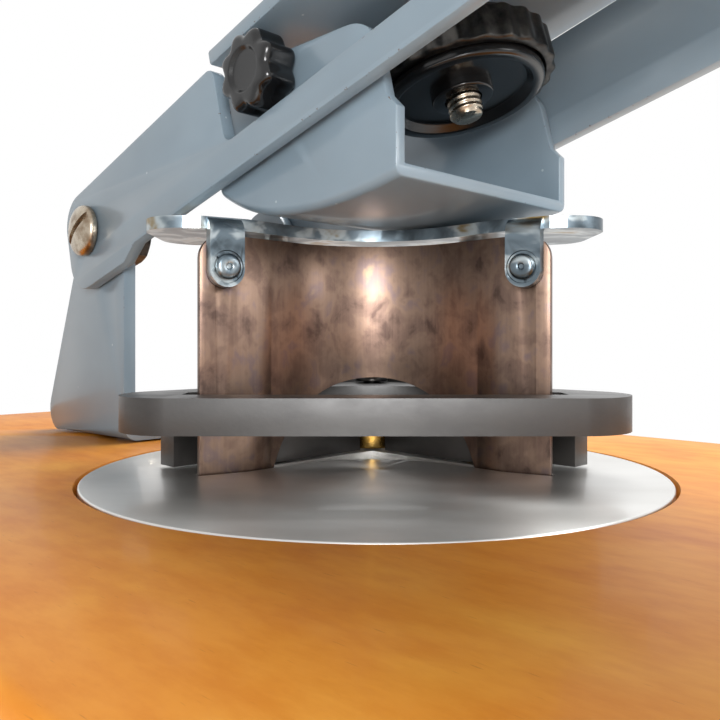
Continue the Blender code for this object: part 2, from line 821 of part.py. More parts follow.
def build_pins():
    pieces = []
    for side, x, y in pin_places():
        collar_high = head_bottom - seat_gap
        pin_low = -disc_height - pin_below
        profile = [(0, pin_low), (pin_radius, pin_low), (pin_radius, collar_low), (pin_collar, collar_low)]
        profile += [(pin_collar, collar_high), (pin_radius, collar_high), (pin_radius, head_top - pin_flush)]
        profile.append((0, head_top - pin_flush))
        pieces.append(turned("guide_pin_" + side, profile, ground_steel, place=(x, y, 0)))
        clip_high = -disc_height - seat_gap
        clip_low = clip_high - clip_height
        inside = pin_radius + bore_gap
        profile = [(inside, clip_low), (clip_radius, clip_low), (clip_radius, clip_high), (inside, clip_high)]
        pieces.append(turned("pin_clip_" + side, profile, spring_steel, place=(x, y, 0)))
        outside = inside + bush_wall
        low = guard_top + seat_gap
        profile = [(inside, -disc_height), (outside, -disc_height), (outside, low), (bush_flange, low)]
        profile += [(bush_flange, low + bush_flange_height), (inside, low + bush_flange_height)]
        turned("guide_bush_" + side, profile, brass, place=(x, y, 0))
        build_spring(side, x, y)
    return pieces


def build_spring(side, x, y):
    # One unbroken wire: it climbs evenly, a wire's radius inside both seats
    curve = bpy.data.curves.new("return_spring_" + side, "CURVE")
    curve.dimensions = "3D"
    curve.bevel_depth = spring_wire
    curve.bevel_resolution = 1
    curve.use_fill_caps = True
    count = spring_turns * spring_points + 1
    spline = curve.splines.new("POLY")
    spline.points.add(count - 1)
    low = spring_low + spring_wire + spring_end_gap
    high = spring_high - spring_wire - spring_end_gap
    points = []
    for index in range(count):
        angle = math.tau * index / spring_points
        height = low + (high - low) * index / (count - 1)
        points.append(Vector((spring_radius * math.cos(angle), spring_radius * math.sin(angle), height)))
        spline.points[index].co = (*points[-1], 1)
    curve.materials.append(spring_steel)
    made = bpy.data.objects.new("return_spring_" + side, curve)
    made.location = (x, y, 0)
    bpy.context.collection.objects.link(made)
    print(made.name, "stands", round(least_gap(points) / mm, 2), "mm clear of itself")


def least_gap(points):
    # The least gap between the wire's surfaces, from points half a turn or more apart
    half_turn = spring_points // 2
    spans = []
    for index, here in enumerate(points):
        spans += [(here - there).length for there in points[index + half_turn:]]
    return min(spans) - spring_wire - spring_wire


# Upright bracket: a folded U with two cheeks, screwed to the base, and a pivot bolt through each cheek

def bracket_outline():
    reach = bracket_top_radius
    corners = [(bracket_front, seat_gap, 0), (bracket_back, seat_gap, bracket_corner)]
    points = rounded(corners + [(pivot_y + reach, pivot_z, 0), (bracket_front, pivot_z, 0)])
    arc = []
    for step in range(1, 2 * fillet_steps):
        angle = math.radians(180.0) * step / (2 * fillet_steps)
        arc.append((pivot_y + reach * math.cos(angle), pivot_z + reach * math.sin(angle)))
    return points[:-1] + arc + [(bracket_front, pivot_z)]


def build_bracket():
    left = lever_middle - bracket_half
    right = lever_middle + bracket_half
    bracket = prism("upright_bracket", bracket_outline(), left, right, grey_enamel, way="X")
    floor = seat_gap + sheet
    high = pivot_z + bracket_top_radius + overrun
    inner = [(bracket_front - overrun, floor), (bracket_back + overrun, floor)]
    inner += [(bracket_back + overrun, high), (bracket_front - overrun, high)]
    cut(bracket, prism("bracket_inside", inner, left + sheet, right - sheet, way="X"))
    bore(bracket, "bracket_pivot_hole", pivot_radius + bore_gap, left - overrun, right + overrun,
         (0, pivot_y, pivot_z), (1, 0, 0))
    for index, (x, y) in enumerate(bracket_screw_places()):
        number = str(index + 1)
        bore(bracket, "bracket_floor_hole_" + number, bracket_screw_shank + bore_gap, -overrun,
             floor + overrun, (x, y, 0))
        screw("bracket_screw_" + number, bracket_screw_shank, bracket_screw_head, bracket_screw_head_height,
              bracket_screw_length, bolt_steel, (x, y, floor + seat_gap), (0, 0, 1))


def build_pivot():
    outer = lever_half + sheet + seat_gap
    inner = bracket_half - sheet - seat_gap
    length = outer - inner + pivot_nut_height
    for side, sign in (("left", -1), ("right", 1)):
        screw("pivot_bolt_" + side, pivot_radius, pivot_head, pivot_head_height, length, bolt_steel,
              (lever_middle + sign * outer, pivot_y, pivot_z), (sign, 0, 0))
        nut("pivot_nut_" + side, pivot_nut_flats, pivot_nut_height, pivot_radius + bore_gap, bolt_steel,
            (lever_middle + sign * inner, pivot_y, pivot_z), (-sign, 0, 0))


# Lever: two side plates, a web across their upper edges and a handle at the front

def lever_outline(notched):
    end = lever_length + lever_end
    corners = [(-lever_ear_back, lever_low, lever_ear_corner)]
    corners += [(-lever_ear_back, -lever_ear_low, lever_ear_corner)]
    corners += [(lever_ear_front, -lever_ear_low, 0), (lever_ear_front + lever_ear_run, -lever_low, 0)]
    corners += [(end, -lever_low, lever_low - seat_gap), (end, lever_high, lever_low - seat_gap)]
    if notched:
        corners += [(notch_end, lever_high, notch_corner), (notch_end, -notch_low, notch_corner)]
        corners += [(notch_start, -notch_low, notch_corner), (notch_start, lever_high, notch_corner)]
    return [along_lever(s, n) for s, n in rounded(corners)]


def build_lever():
    pieces = []
    handle_y, handle_z = along_lever(lever_length, (lever_high - lever_low) * half_share)
    for side, sign in (("left", -1), ("right", 1)):
        inner = lever_middle + sign * lever_half
        outer = inner + sign * sheet
        plate = prism("lever_plate_" + side, lever_outline(side == "left"), min(inner, outer),
                      max(inner, outer), grey_enamel, way="X")
        bore(plate, "lever_pivot_hole_" + side, pivot_radius + bore_gap, -base_width, base_width,
             (0, pivot_y, pivot_z), (1, 0, 0))
        bore(plate, "lever_handle_hole_" + side, handle_rod + bore_gap, -base_width, base_width,
             (0, handle_y, handle_z), (1, 0, 0))
        pieces.append(plate)
    outline = [(web_start, web_low), (web_end, web_low), (web_end, web_high), (web_start, web_high)]
    half = lever_half + sheet
    web = prism("lever_web", [along_lever(s, n) for s, n in outline], lever_middle - half,
                lever_middle + half, grey_enamel, way="X")
    stud_y, stud_z = along_lever(wheel_place, 0)
    bore(web, "web_stud_hole", stud_radius + bore_gap, 0, web_high + overrun, (lever_middle, stud_y, stud_z),
         lever_up)
    pieces.append(web)
    inside = lever_half - seat_gap
    bore_radius = handle_rod + bore_gap
    profile = [(bore_radius, -inside), (grip_radius - grip_crown, -inside)]
    profile += [(grip_radius, -inside * half_share), (grip_radius, inside * half_share)]
    profile += [(grip_radius - grip_crown, inside), (bore_radius, inside)]
    pieces.append(turned("handle_grip", profile, black_plastic, place=(lever_middle, handle_y, handle_z),
                         way=(1, 0, 0)))
    left = lever_middle - half - seat_gap
    right = lever_middle + half + seat_gap
    pieces.append(screw("handle_rod", handle_rod, handle_head, handle_head_height,
                        right - left + handle_nut_height + seat_gap, bolt_steel, (left, handle_y, handle_z),
                        (-1, 0, 0)))
    pieces.append(nut("handle_nut", handle_nut_flats, handle_nut_height, handle_rod + bore_gap, bolt_steel,
                      (right, handle_y, handle_z), (1, 0, 0)))
    return pieces


# Rocker: an open channel with a curved floor, under the web's back end

def rocker_floor(inset):
    # The floor's side view from front to back, raised by inset
    points = []
    for step in range(rocker_arc_steps + 1):
        y = -rocker_front + (rocker_lowest + rocker_front) * step / rocker_arc_steps
        reach = rocker_front_radius - inset
        rise = reach - math.sqrt(reach ** 2 - (rocker_lowest - y) ** 2)
        points.append((y, rocker_bottom + inset + rise))
    for step in range(1, rocker_arc_steps + 1):
        y = rocker_lowest + (rocker_back - rocker_lowest) * step / rocker_arc_steps
        reach = rocker_back_radius - inset
        rise = reach - math.sqrt(reach ** 2 - (y - rocker_lowest) ** 2)
        points.append((y, rocker_bottom + inset + rise))
    return points


def rocker_top(y):
    # The web's underside less its gap, at a place along Y
    s = (pivot_y - y + (web_low - seat_gap) * math.sin(lever_rise)) / math.cos(lever_rise)
    return along_lever(s, web_low - seat_gap)[1]


def build_rocker():
    floor = rocker_floor(0)
    back_y = rocker_back - rocker_lean_share * (rocker_top(rocker_back) - floor[-1][1])
    step_y = -rocker_front + rocker_step
    step_top = rocker_step_z + rocker_step
    corner_y = step_y + rocker_front_lean_share * (rocker_corner_z - step_top)
    corners = [(y, z, 0) for y, z in floor] + [(back_y, rocker_top(back_y), 0)]
    corners += [(corner_y, rocker_corner_z, rocker_corner), (step_y, step_top, 0)]
    outline = rounded(corners + [(-rocker_front, rocker_step_z, 0)])
    left = lever_middle - rocker_half
    right = lever_middle + rocker_half
    floor_levels = {round(z, 7) for y, z in floor}

    def lower_edge(edge):
        # The edges along the floor's two sides
        ends = [vert.co for vert in edge.verts]
        level = all(round(end.z, 7) in floor_levels for end in ends)
        return level and ends[0].x == ends[1].x and ends[0].y != ends[1].y

    rocker = prism("rocker", outline, left, right, grey_enamel, way="X", bevel=rocker_bend,
                   bevel_test=lower_edge)
    inner = rocker_floor(rocker_sheet)
    first, last = inner[0], inner[-1]
    high = rocker_top(-rocker_front) + base_height
    inner = [(first[0] - overrun, first[1] + overrun * half_share)] + inner
    inner += [(last[0] + overrun, last[1] + overrun), (last[0] + overrun, high), (inner[0][0], high)]
    cut(rocker, prism("rocker_inside", inner, left + rocker_sheet, right - rocker_sheet, way="X"))
    knob_y, knob_z = along_lever(knob_place, knob_rise)
    bore(rocker, "rocker_clamp_hole", clamp_screw_radius + bore_gap, left - overrun,
         left + rocker_sheet + overrun, (0, knob_y, knob_z), (1, 0, 0))
    return rocker


# Adjusting wheel with a knurled rim, on a stud that hangs from the web

def build_wheel():
    y, z = along_lever(wheel_place, 0)
    place = (lever_middle, y, z)
    low = -wheel_low
    high = low + wheel_height
    bore_radius = stud_radius + bore_gap
    rim_inside = wheel_radius - wheel_rim_wall
    hub = rim_inside - bore_gap
    recess = low + wheel_recess_depth
    profile = [(bore_radius, low), (bore_radius + bush_wall + bush_wall, low)]
    profile += [(bore_radius + bush_wall + bush_wall, recess), (wheel_recess, recess)]
    profile += [(wheel_recess + bush_wall, low), (hub, low), (hub, high), (bore_radius, high)]
    wheel = turned("adjuster_wheel", profile, black_plastic, steps=wheel_steps, place=place, way=lever_up)
    rim_low = (low + high - wheel_rim_height) * half_share
    rim_high = rim_low + wheel_rim_height

    def knurl(angle):
        return 1 - wheel_knurl_depth / wheel_radius * (1 + math.cos(wheel_knurls * angle)) * half_share

    profile = [(rim_inside, rim_low), (wheel_radius, rim_low, 1)]
    profile += [(wheel_radius, rim_high, 1), (rim_inside, rim_high)]
    rim = turned("adjuster_rim", profile, ground_steel, steps=wheel_knurls * 2, place=place, way=lever_up,
                 lobes=knurl)
    top = web_high + stud_over
    profile = [(0, -stud_low), (stud_radius - stud_tip, -stud_low), (stud_radius, -stud_low + stud_tip)]
    profile += [(stud_radius, top - stud_tip), (stud_radius - stud_tip, top), (0, top)]
    stud = turned("adjuster_stud", profile, bolt_steel, place=place, way=lever_up)
    nuts = []
    for name, level in (("upper", web_high + seat_gap), ("lower", web_low - seat_gap - stud_nut_height)):
        foot = Vector(place) + Vector(lever_up) * level
        nuts.append(nut("stud_nut_" + name, stud_nut_flats, stud_nut_height, stud_radius + bore_gap,
                        bolt_steel, foot, lever_up))
    return wheel, rim, stud, nuts


# Clamp knob outside the rocker's left flange, with its screw and nut

def build_knob():
    y, z = along_lever(knob_place, knob_rise)
    flange = lever_middle - rocker_half
    place = (flange - seat_gap, y, z)

    def lobe(angle):
        return 1 - knob_lobe_depth / knob_radius * (1 + math.cos(knob_lobes * angle)) * half_share

    bore_radius = clamp_screw_radius + bore_gap
    profile = [(0, clamp_seat), (bore_radius, clamp_seat), (bore_radius, 0), (knob_radius - knob_edge, 0)]
    profile += [(knob_radius, knob_edge, 1), (knob_radius, knob_height - knob_edge, 1)]
    profile += [(knob_radius - knob_edge, knob_height), (0, knob_height)]
    knob = turned("clamp_knob", profile, black_plastic, steps=knob_lobes * 4, place=place, way=(-1, 0, 0),
                  lobes=lobe)
    inner = flange + rocker_sheet + seat_gap
    inner_end = -rocker_sheet - seat_gap - seat_gap - clamp_nut_height
    profile = [(0, inner_end), (clamp_screw_radius, inner_end), (clamp_screw_radius, clamp_seat - seat_gap)]
    profile.append((0, clamp_seat - seat_gap))
    clamp = turned("clamp_screw", profile, bolt_steel, place=place, way=(-1, 0, 0))
    holder = nut("clamp_nut", clamp_nut_flats, clamp_nut_height, clamp_screw_radius + bore_gap, bolt_steel,
                 (inner, y, z), (1, 0, 0))
    return knob, clamp, holder


build_base()
build_feet()
build_disc()
build_guard()
build_bracket()
build_pivot()

lever_axis = axis_empty("lever_axis", (lever_middle, pivot_y, pivot_z))
blade_axis = axis_empty("blade_axis", (0, 0, head_bottom))
wheel_y, wheel_z = along_lever(wheel_place, 0)
wheel_axis = axis_empty("wheel_axis", (lever_middle, wheel_y, wheel_z))
knob_y, knob_z = along_lever(knob_place, knob_rise)
knob_axis = axis_empty("knob_axis", (lever_middle - rocker_half, knob_y, knob_z))

for piece in [build_blade(), build_head()] + build_rivets() + build_pins():
    hang(piece, blade_axis)

wheel, rim, stud, stud_nuts = build_wheel()
knob, clamp, holder = build_knob()
for piece in build_lever() + [build_rocker(), stud, holder] + stud_nuts:
    hang(piece, lever_axis)
for piece in (wheel, rim):
    hang(piece, wheel_axis)
for piece in (knob, clamp):
    hang(piece, knob_axis)
hang(wheel_axis, lever_axis)
hang(knob_axis, lever_axis)
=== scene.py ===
from math import acos, atan2, cos, radians, sin, sqrt, tan, tau

import bmesh
import bpy
from mathutils import Matrix, Vector


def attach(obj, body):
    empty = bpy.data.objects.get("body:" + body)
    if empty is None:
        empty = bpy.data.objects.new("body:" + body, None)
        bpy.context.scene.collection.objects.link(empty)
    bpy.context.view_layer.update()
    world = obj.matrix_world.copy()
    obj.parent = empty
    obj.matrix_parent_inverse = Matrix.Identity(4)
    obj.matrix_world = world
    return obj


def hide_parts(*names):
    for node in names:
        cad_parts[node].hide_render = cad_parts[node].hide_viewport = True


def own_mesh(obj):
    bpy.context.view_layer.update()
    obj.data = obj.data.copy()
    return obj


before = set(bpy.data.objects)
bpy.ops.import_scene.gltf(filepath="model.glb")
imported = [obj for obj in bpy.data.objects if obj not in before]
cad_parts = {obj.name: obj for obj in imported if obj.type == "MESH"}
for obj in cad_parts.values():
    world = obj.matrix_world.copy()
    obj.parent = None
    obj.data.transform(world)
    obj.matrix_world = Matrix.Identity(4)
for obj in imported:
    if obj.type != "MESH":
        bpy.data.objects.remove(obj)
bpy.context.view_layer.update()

# Desk corner rounder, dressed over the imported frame. Sizes are in millimetres, and angles in degrees.
# u runs across the paper's corner, to the right, and v away from the sheet. s runs along the lever
# from its pivot, and n square to it. An outline's corners are (x, y, radius).
mm = 0.001
boreGap = 0.2   # between a bore and what passes through it
seatGap = 0.3   # between pieces that meet
overrun = 1.0   # of a cutting tool past the face it cuts
up, down, sideways = (0, 0, 1), (0, 0, -1), (1, 0, 0)
sides = (("left", -1), ("right", 1))


def across(u, v):
    half = sqrt(0.5)
    return ((u + v) * half, (v - u) * half)


leverLine = dict(rise=15.1, pivotY=54.6, pivotZ=36.0, middle=7.1)
leverRise = radians(leverLine["rise"])
leverUp = Vector((0, sin(leverRise), cos(leverRise)))
pivotY, pivotZ, leverMiddle = leverLine["pivotY"], leverLine["pivotZ"], leverLine["middle"]


def alongLever(s, n):
    y = pivotY - s * cos(leverRise) + n * sin(leverRise)
    return (y, pivotZ + s * sin(leverRise) + n * cos(leverRise))


def newObject(name, data):
    made = bpy.data.objects.new(name, data)
    bpy.context.scene.collection.objects.link(made)
    return made


# Camera, at the photograph's height and heading. It looks level, so upright edges stay upright.
view = dict(place=(-74.07, -71.35, 17.33), heading=-45.0, lens=38.25, sensor=36.0, shiftY=-0.0278)


def setCamera():
    lens = bpy.data.cameras.new("photoCamera")
    lens.lens = view["lens"]
    lens.sensor_width = view["sensor"]
    lens.sensor_fit = "HORIZONTAL"
    lens.shift_y = view["shiftY"]
    lens.clip_start = 1 * mm
    eye = newObject("photoCamera", lens)
    eye.location = Vector(view["place"]) * mm
    eye.rotation_euler = (radians(90), 0, radians(view["heading"]))
    bpy.context.scene.camera = eye


setCamera()
print("camera set")


# Nodes and colours

def toLinear(hexColour):
    channels = [int(hexColour[index:index + 2], 16) / 255 for index in (1, 3, 5)]
    return [c / 12.92 if c <= 0.04045 else ((c + 0.055) / 1.055) ** 2.4 for c in channels] + [1.0]


def addNode(tree, kind, links=None, values=None, **settings):
    node = tree.nodes.new("ShaderNode" + kind)
    for key, value in settings.items():
        setattr(node, key, value)
    for key, value in (values or {}).items():
        node.inputs[key].default_value = value
    for key, source in (links or {}).items():
        tree.links.new(source, node.inputs[key])
    return node


def startMaterial(name, values):
    made = bpy.data.materials.new(name)
    made.use_nodes = True
    shader = made.node_tree.nodes["Principled BSDF"]
    for key, value in values.items():
        shader.inputs[key].default_value = value
    place = addNode(made.node_tree, "TexCoord").outputs["Object"]
    return made, place


def stretched(place, size, turn=(0, 0, 0)):
    # Pattern coordinates in which one unit is size millimetres, or three sizes for the three axes
    sizes = size if isinstance(size, tuple) else (size, size, size)
    angles = [radians(angle) for angle in turn]
    moved = addNode(place.id_data, "Mapping", {"Vector": place}, {"Rotation": angles}).outputs[0]
    scale = [1 / (length * mm) for length in sizes]
    return addNode(place.id_data, "Mapping", {"Vector": moved}, {"Scale": scale}).outputs[0]


def noise(place, size, detail, roughness=0.5, distortion=0.0, turn=(0, 0, 0)):
    values = {"Scale": 1.0, "Detail": detail, "Roughness": roughness, "Distortion": distortion}
    return addNode(place.id_data, "TexNoise", {"Vector": stretched(place, size, turn)}, values).outputs[0]


def flecks(place, size):
    # Distance to the nearest of some scattered points
    return addNode(place.id_data, "TexVoronoi", {"Vector": stretched(place, size)}, {"Scale": 1.0},
                   feature="F1").outputs["Distance"]


def ramp(source, *stops):
    node = addNode(source.id_data, "ValToRGB", {"Fac": source})
    node.color_ramp.interpolation = "EASE"
    elements = node.color_ramp.elements
    while len(elements) < len(stops):
        elements.new(0.5)
    for element, (position, colour) in zip(elements, stops):
        element.position = position
        element.color = toLinear(colour) if isinstance(colour, str) else (colour, colour, colour, 1)
    return node.outputs["Color"]


def blend(share, first, second):
    # Mix two colours by a share. first is a socket, and the others may be a number and a hex colour.
    links, values = {}, {}
    for key, source in ((0, share), (6, first), (7, second)):
        if isinstance(source, bpy.types.NodeSocket):
            links[key] = source
        else:
            values[key] = toLinear(source) if isinstance(source, str) else source
    return addNode(first.id_data, "Mix", links, values, data_type="RGBA").outputs[2]


def linkSurface(made, colour, height, strength, depth, roughness=None, coated=False):
    # Link the colour, the bump, whose depth is in millimetres, and the roughness where it varies
    tree = made.node_tree
    bump = addNode(tree, "Bump", {"Height": height}, {"Strength": strength, "Distance": depth * mm})
    links = {"Base Color": colour, "Normal": bump.outputs[0]}
    if roughness is not None:
        links["Roughness"] = roughness
    if coated:
        links["Coat Normal"] = bump.outputs[0]
    for key, source in links.items():
        tree.links.new(source, tree.nodes["Principled BSDF"].inputs[key])
    return made


def varnishedBeech():
    # Beech board under amber varnish: soft cloudy colour from the stain, fine grain along the board,
    # short dark pores, and a glossy coat that is a little wavy where the brush went
    made, place = startMaterial("varnishedBeech", {
        "Roughness": 0.5, "IOR": 1.5, "Specular IOR Level": 0.28, "Coat Weight": 0.07, "Coat Roughness": 0.12,
        "Coat IOR": 1.5})
    cloud = noise(place, (13, 19, 13), 3.0)
    grain = noise(place, (2.4, 7, 2.4), 6.0, 0.6)
    pores = noise(place, (0.22, 2.4, 0.22), 1.0)
    stain = ramp(cloud, (0.22, "#C2680A"), (0.5, "#DA861C"), (0.78, "#EBA238"))
    grained = blend(0.2, stain, ramp(grain, (0.3, "#B45E0E"), (0.68, "#F0AE50")))
    coloured = blend(ramp(pores, (0.7, 0.0), (0.78, 0.3)), grained, "#8C4308")
    wave = noise(place, (5, 14, 5), 2.0)
    uneven = addNode(place.id_data, "Math", {0: wave, 1: grain}, operation="ADD").outputs[0]
    return linkSurface(made, coloured, uneven, 0.12, 0.12, coated=True)


def groundSteel():
    # Steel faced on a lathe, under a film of oil: the tool marks run round its middle and smear what
    # it mirrors towards and away from it, the film mirrors it again sharply, and dust dulls it
    made, place = startMaterial("groundSteel", {
        "Metallic": 0.92, "Anisotropic": 0.6, "Anisotropic Rotation": 0.25, "Coat Weight": 0.3,
        "Coat Roughness": 0.08, "Coat IOR": 1.45})
    lines = noise(place, (14, 0.16, 14), 4.0, turn=(0, 0, 45))
    patches = noise(place, (24, 9, 9), 3.0, turn=(0, 0, 45))
    steel = ramp(patches, (0.25, "#CDCBC7"), (0.75, "#DCDBD8"))
    coloured = blend(ramp(flecks(place, 1.5), (0.035, 1.0), (0.07, 0.0)), steel, "#E4E2DC")
    return linkSurface(made, coloured, lines, 0.18, 0.02, ramp(patches, (0.25, 0.34), (0.75, 0.38)))


def brownedSteel():
    # Tool steel browned by heat and handling: a cloudy bronze film with violet and straw patches,
    # over a surface that is still smooth enough to mirror a lamp as an upright band. The bronze,
    # violet and straw are the steel's own; their darkness is a painted reflection of dark surroundings.
    made, place = startMaterial("brownedSteel", {"Metallic": 1.0})
    cloud = noise(place, (3.4, 3.4, 4.2), 5.0, 0.55, 0.3)
    wipes = noise(place, (0.35, 0.35, 9), 3.0)
    filmAndDarkReflection = ramp(cloud, (0.3, "#564640"), (0.42, "#725E54"), (0.54, "#846E60"), (0.66, "#756462"),
                (0.78, "#907B66"))
    coloured = blend(0.1, filmAndDarkReflection, ramp(wipes, (0.35, "#594840"), (0.68, "#8E796A")))
    return linkSurface(made, coloured, wipes, 0.05, 0.02, ramp(cloud, (0.3, 0.42), (0.7, 0.36)))


def brightZincPlate():
    # Bright zinc on punched steel: blue-grey with straw tints where the passivation is thick, fine
    # pits, and edges that catch the light. Its colours are darker than bright zinc, as a painted
    # reflection of dark surroundings.
    made, place = startMaterial("brightZincPlate", {"Metallic": 1.0, "Roughness": 0.32})
    cloud = noise(place, (5.5, 5.5, 3.5), 3.0, distortion=0.4)
    tintAndDarkReflection = ramp(cloud, (0.3, "#4A5359"), (0.46, "#67737B"), (0.58, "#ACB5B8"), (0.7, "#877550"))
    return linkSurface(made, tintAndDarkReflection, noise(place, 0.45, 3.0), 0.03, 0.03)


def satinBlackPaint():
    # Stoved black paint on steel: satin, with a fine orange peel that breaks the sheen into grain
    made, place = startMaterial("satinBlackPaint", {"IOR": 1.5, "Specular IOR Level": 0.65})
    wear = noise(place, (6, 6, 3), 5.0, 0.65)
    return linkSurface(made, ramp(wear, (0.3, "#262423"), (0.7, "#312F2D")),
                       noise(place, 0.4, 2.0), 0.25, 0.03, ramp(wear, (0.3, 0.44), (0.7, 0.36)))


def greyEnamel(name, chipShare):
    # Machine enamel, grey-blue and glossy, sprayed and stoved: slight orange peel and dust nibs.
    # chipShare is how much of it has rubbed through to rusty steel, which is for its edges.
    made, place = startMaterial(name, {
        "Roughness": 0.3, "IOR": 1.5, "Coat Weight": 0.3, "Coat Roughness": 0.08})
    paint = ramp(noise(place, (14, 14, 10), 2.0), (0.2, "#7B8C98"), (0.8, "#8495A1"))
    dusted = blend(ramp(flecks(place, 4.5), (0.03, 0.7), (0.05, 0.0)), paint, "#B9C4CA")
    chips = noise(place, 0.7, 5.0, 0.7)
    edge = 0.75 - 0.35 * chipShare
    coloured = blend(ramp(chips, (edge, 0.0), (edge + 0.04, 1.0)), dusted, "#5A4438")
    return linkSurface(made, coloured, noise(place, 1.1, 2.0), 0.06, 0.05, coated=True)


def mouldedBlackPlastic():
    # Moulded black ABS: glossy from a polished mould, rubbed duller in places
    made, place = startMaterial("mouldedBlackPlastic", {"IOR": 1.52})
    rubbed = noise(place, 7, 3.0)
    return linkSurface(made, ramp(rubbed, (0.3, "#0A0A0B"), (0.7, "#111112")),
                       noise(place, 0.3, 2.0), 0.12, 0.03, ramp(rubbed, (0.3, 0.24), (0.7, 0.15)))


def turnedMetal(name, low, high, shine, coarse):
    # Metal turned on a lathe or rolled as bar: fine tool marks round it, and a film of oil or lacquer
    # that stains it from low to high. shine is its roughness.
    made, place = startMaterial(name, {"Metallic": 1.0})
    stain = noise(place, 2.2, 5.0, 0.6)
    return linkSurface(made, ramp(stain, (0.3, low), (0.66, high)), noise(place, coarse, 2.0),
                       0.08, 0.03, ramp(stain, (0.3, shine + 0.1), (0.7, shine)))


def footRubber():
    # Black rubber, moulded and matt, a little grey with dust in its grain
    made, place = startMaterial("footRubber", {"IOR": 1.52, "Roughness": 0.8})
    dust = noise(place, 0.5, 4.0)
    return linkSurface(made, ramp(dust, (0.4, "#1B1B1B"), (0.72, "#343331")), dust, 0.4, 0.06)


finishes = {
    "varnished_wood": varnishedBeech(),
    "ground_steel": groundSteel(),
    "blade_steel": brownedSteel(),
    "zinc_plate": brightZincPlate(),
    "black_paint": satinBlackPaint(),
    "grey_enamel": greyEnamel("greyEnamel", 0.0),
    "black_plastic": mouldedBlackPlastic(),
    "brass": turnedMetal("turnedBrass", "#8F6A2C", "#C9A35A", 0.22, 0.25),
    "spring_steel": turnedMetal("oiledSpringSteel", "#4A4A4C", "#7C7C7E", 0.28, 0.2),
    "black_rubber": footRubber(),
    "bolt_steel": turnedMetal("yellowedBoltSteel", "#8C7A66", "#C2B7A6", 0.24, 0.3),
}
wornEnamelEdge = greyEnamel("wornEnamelEdge", 0.4)
# Dark steel. On the guard's screws its darkness is painted shade, where the blade shades them
blackenedSteelAndPaintedShade = turnedMetal("blackenedSteelAndPaintedShade", "#262627", "#4C4A47", 0.3, 0.3)
print("materials made")


# Shapes

def roundedOutline(corners, steps=6):
    points = []
    count = len(corners)
    for index, (x, y, radius) in enumerate(corners):
        here = Vector((x, y))
        if radius == 0:
            points.append((x, y))
            continue
        before = (Vector(corners[index - 1][:2]) - here).normalized()
        after = (Vector(corners[(index + 1) % count][:2]) - here).normalized()
        halfTurn = before.angle(after) / 2
        middle = here + (before + after).normalized() * (radius / sin(halfTurn))
        reach = radius / tan(halfTurn)
        first = here + before * reach - middle
        last = here + after * reach - middle
        sweep = atan2(first.x * last.y - first.y * last.x, first.dot(last))
        for step in range(steps + 1):
            points.append(tuple(middle + Matrix.Rotation(sweep * step / steps, 2) @ first))
    return points


def box(x0, x1, y0, y1, radii=(0, 0, 0, 0), steps=6):
    # A rectangle's outline, with a radius for each corner
    ends = ((x0, y0), (x1, y0), (x1, y1), (x0, y1))
    return roundedOutline([(x, y, radius) for (x, y), radius in zip(ends, radii)], steps)


def arc(x, y, radius, start, end, steps):
    angles = [radians(start + (end - start) * step / steps) for step in range(steps + 1)]
    return [(x + radius * cos(angle), y + radius * sin(angle)) for angle in angles]


def slab(outline, low, high, way="Z"):
    # A flat outline given a thickness along one axis
    orders = {"Z": lambda a, b, h: (a, b, h), "X": lambda a, b, h: (h, a, b), "Y": lambda a, b, h: (a, h, b)}
    mesh = bmesh.new()
    bottom = [mesh.verts.new(orders[way](a, b, low)) for a, b in outline]
    top = [mesh.verts.new(orders[way](a, b, high)) for a, b in outline]
    mesh.faces.new(bottom)
    mesh.faces.new(list(reversed(top)))
    for index in range(len(outline)):
        after = (index + 1) % len(outline)
        mesh.faces.new([bottom[index], top[index], top[after], bottom[after]])
    bmesh.ops.recalc_face_normals(mesh, faces=mesh.faces[:])
    return mesh


def standing(place, way, spin=0.0):
    # Turns and moves what stands on the origin, so that it stands on place and points along way
    turn = Vector(way).to_track_quat("Z", "Y").to_matrix().to_4x4()
    return Matrix.Translation(place) @ turn @ Matrix.Rotation(radians(spin), 4, "Z")


def lathe(points, steps=64, place=(0, 0, 0), way=up, shape=None, spin=0.0):
    # A profile of (radius, height) turned about an axis. shape(angle, radius, height) changes the radius.
    mesh = bmesh.new()
    rings = []
    for radius, height in points:
        if radius < 1e-6:
            rings.append([mesh.verts.new((0, 0, height))])
            continue
        ring = []
        for step in range(steps):
            angle = tau * step / steps
            reach = shape(angle, radius, height) if shape else radius
            ring.append(mesh.verts.new((reach * cos(angle), reach * sin(angle), height)))
        rings.append(ring)
    pairs = list(zip(rings, rings[1:]))
    if all(len(ring) > 1 for ring in rings):
        pairs.append((rings[-1], rings[0]))
    for lower, upper in pairs:
        for step in range(steps):
            after = (step + 1) % steps
            corners = [lower[step % len(lower)], lower[after % len(lower)]]
            corners += [upper[after % len(upper)], upper[step % len(upper)]]
            unique = list(dict.fromkeys(corners))
            if len(unique) > 2:
                mesh.faces.new(unique)
    bmesh.ops.recalc_face_normals(mesh, faces=mesh.faces[:])
    bmesh.ops.transform(mesh, matrix=standing(place, way, spin), verts=mesh.verts)
    return mesh


def hole(radius, low, high, place, way=up, steps=48):
    return lathe([(0, low), (radius, low), (radius, high), (0, high)], steps, place, way)


def holes(places, radius, low, high):
    # Upright holes. A place ends with x and y.
    return [hole(radius, low, high, (*place[-2:], 0)) for place in places]


def roundEdges(mesh, edges, size, steps):
    bmesh.ops.bevel(mesh, geom=edges, offset=size, segments=steps, profile=0.5, affect="EDGES")


def asObject(name, mesh):
    bmesh.ops.scale(mesh, vec=(mm, mm, mm), verts=mesh.verts)
    data = bpy.data.meshes.new(name)
    mesh.to_mesh(data)
    mesh.free()
    return newObject(name, data)


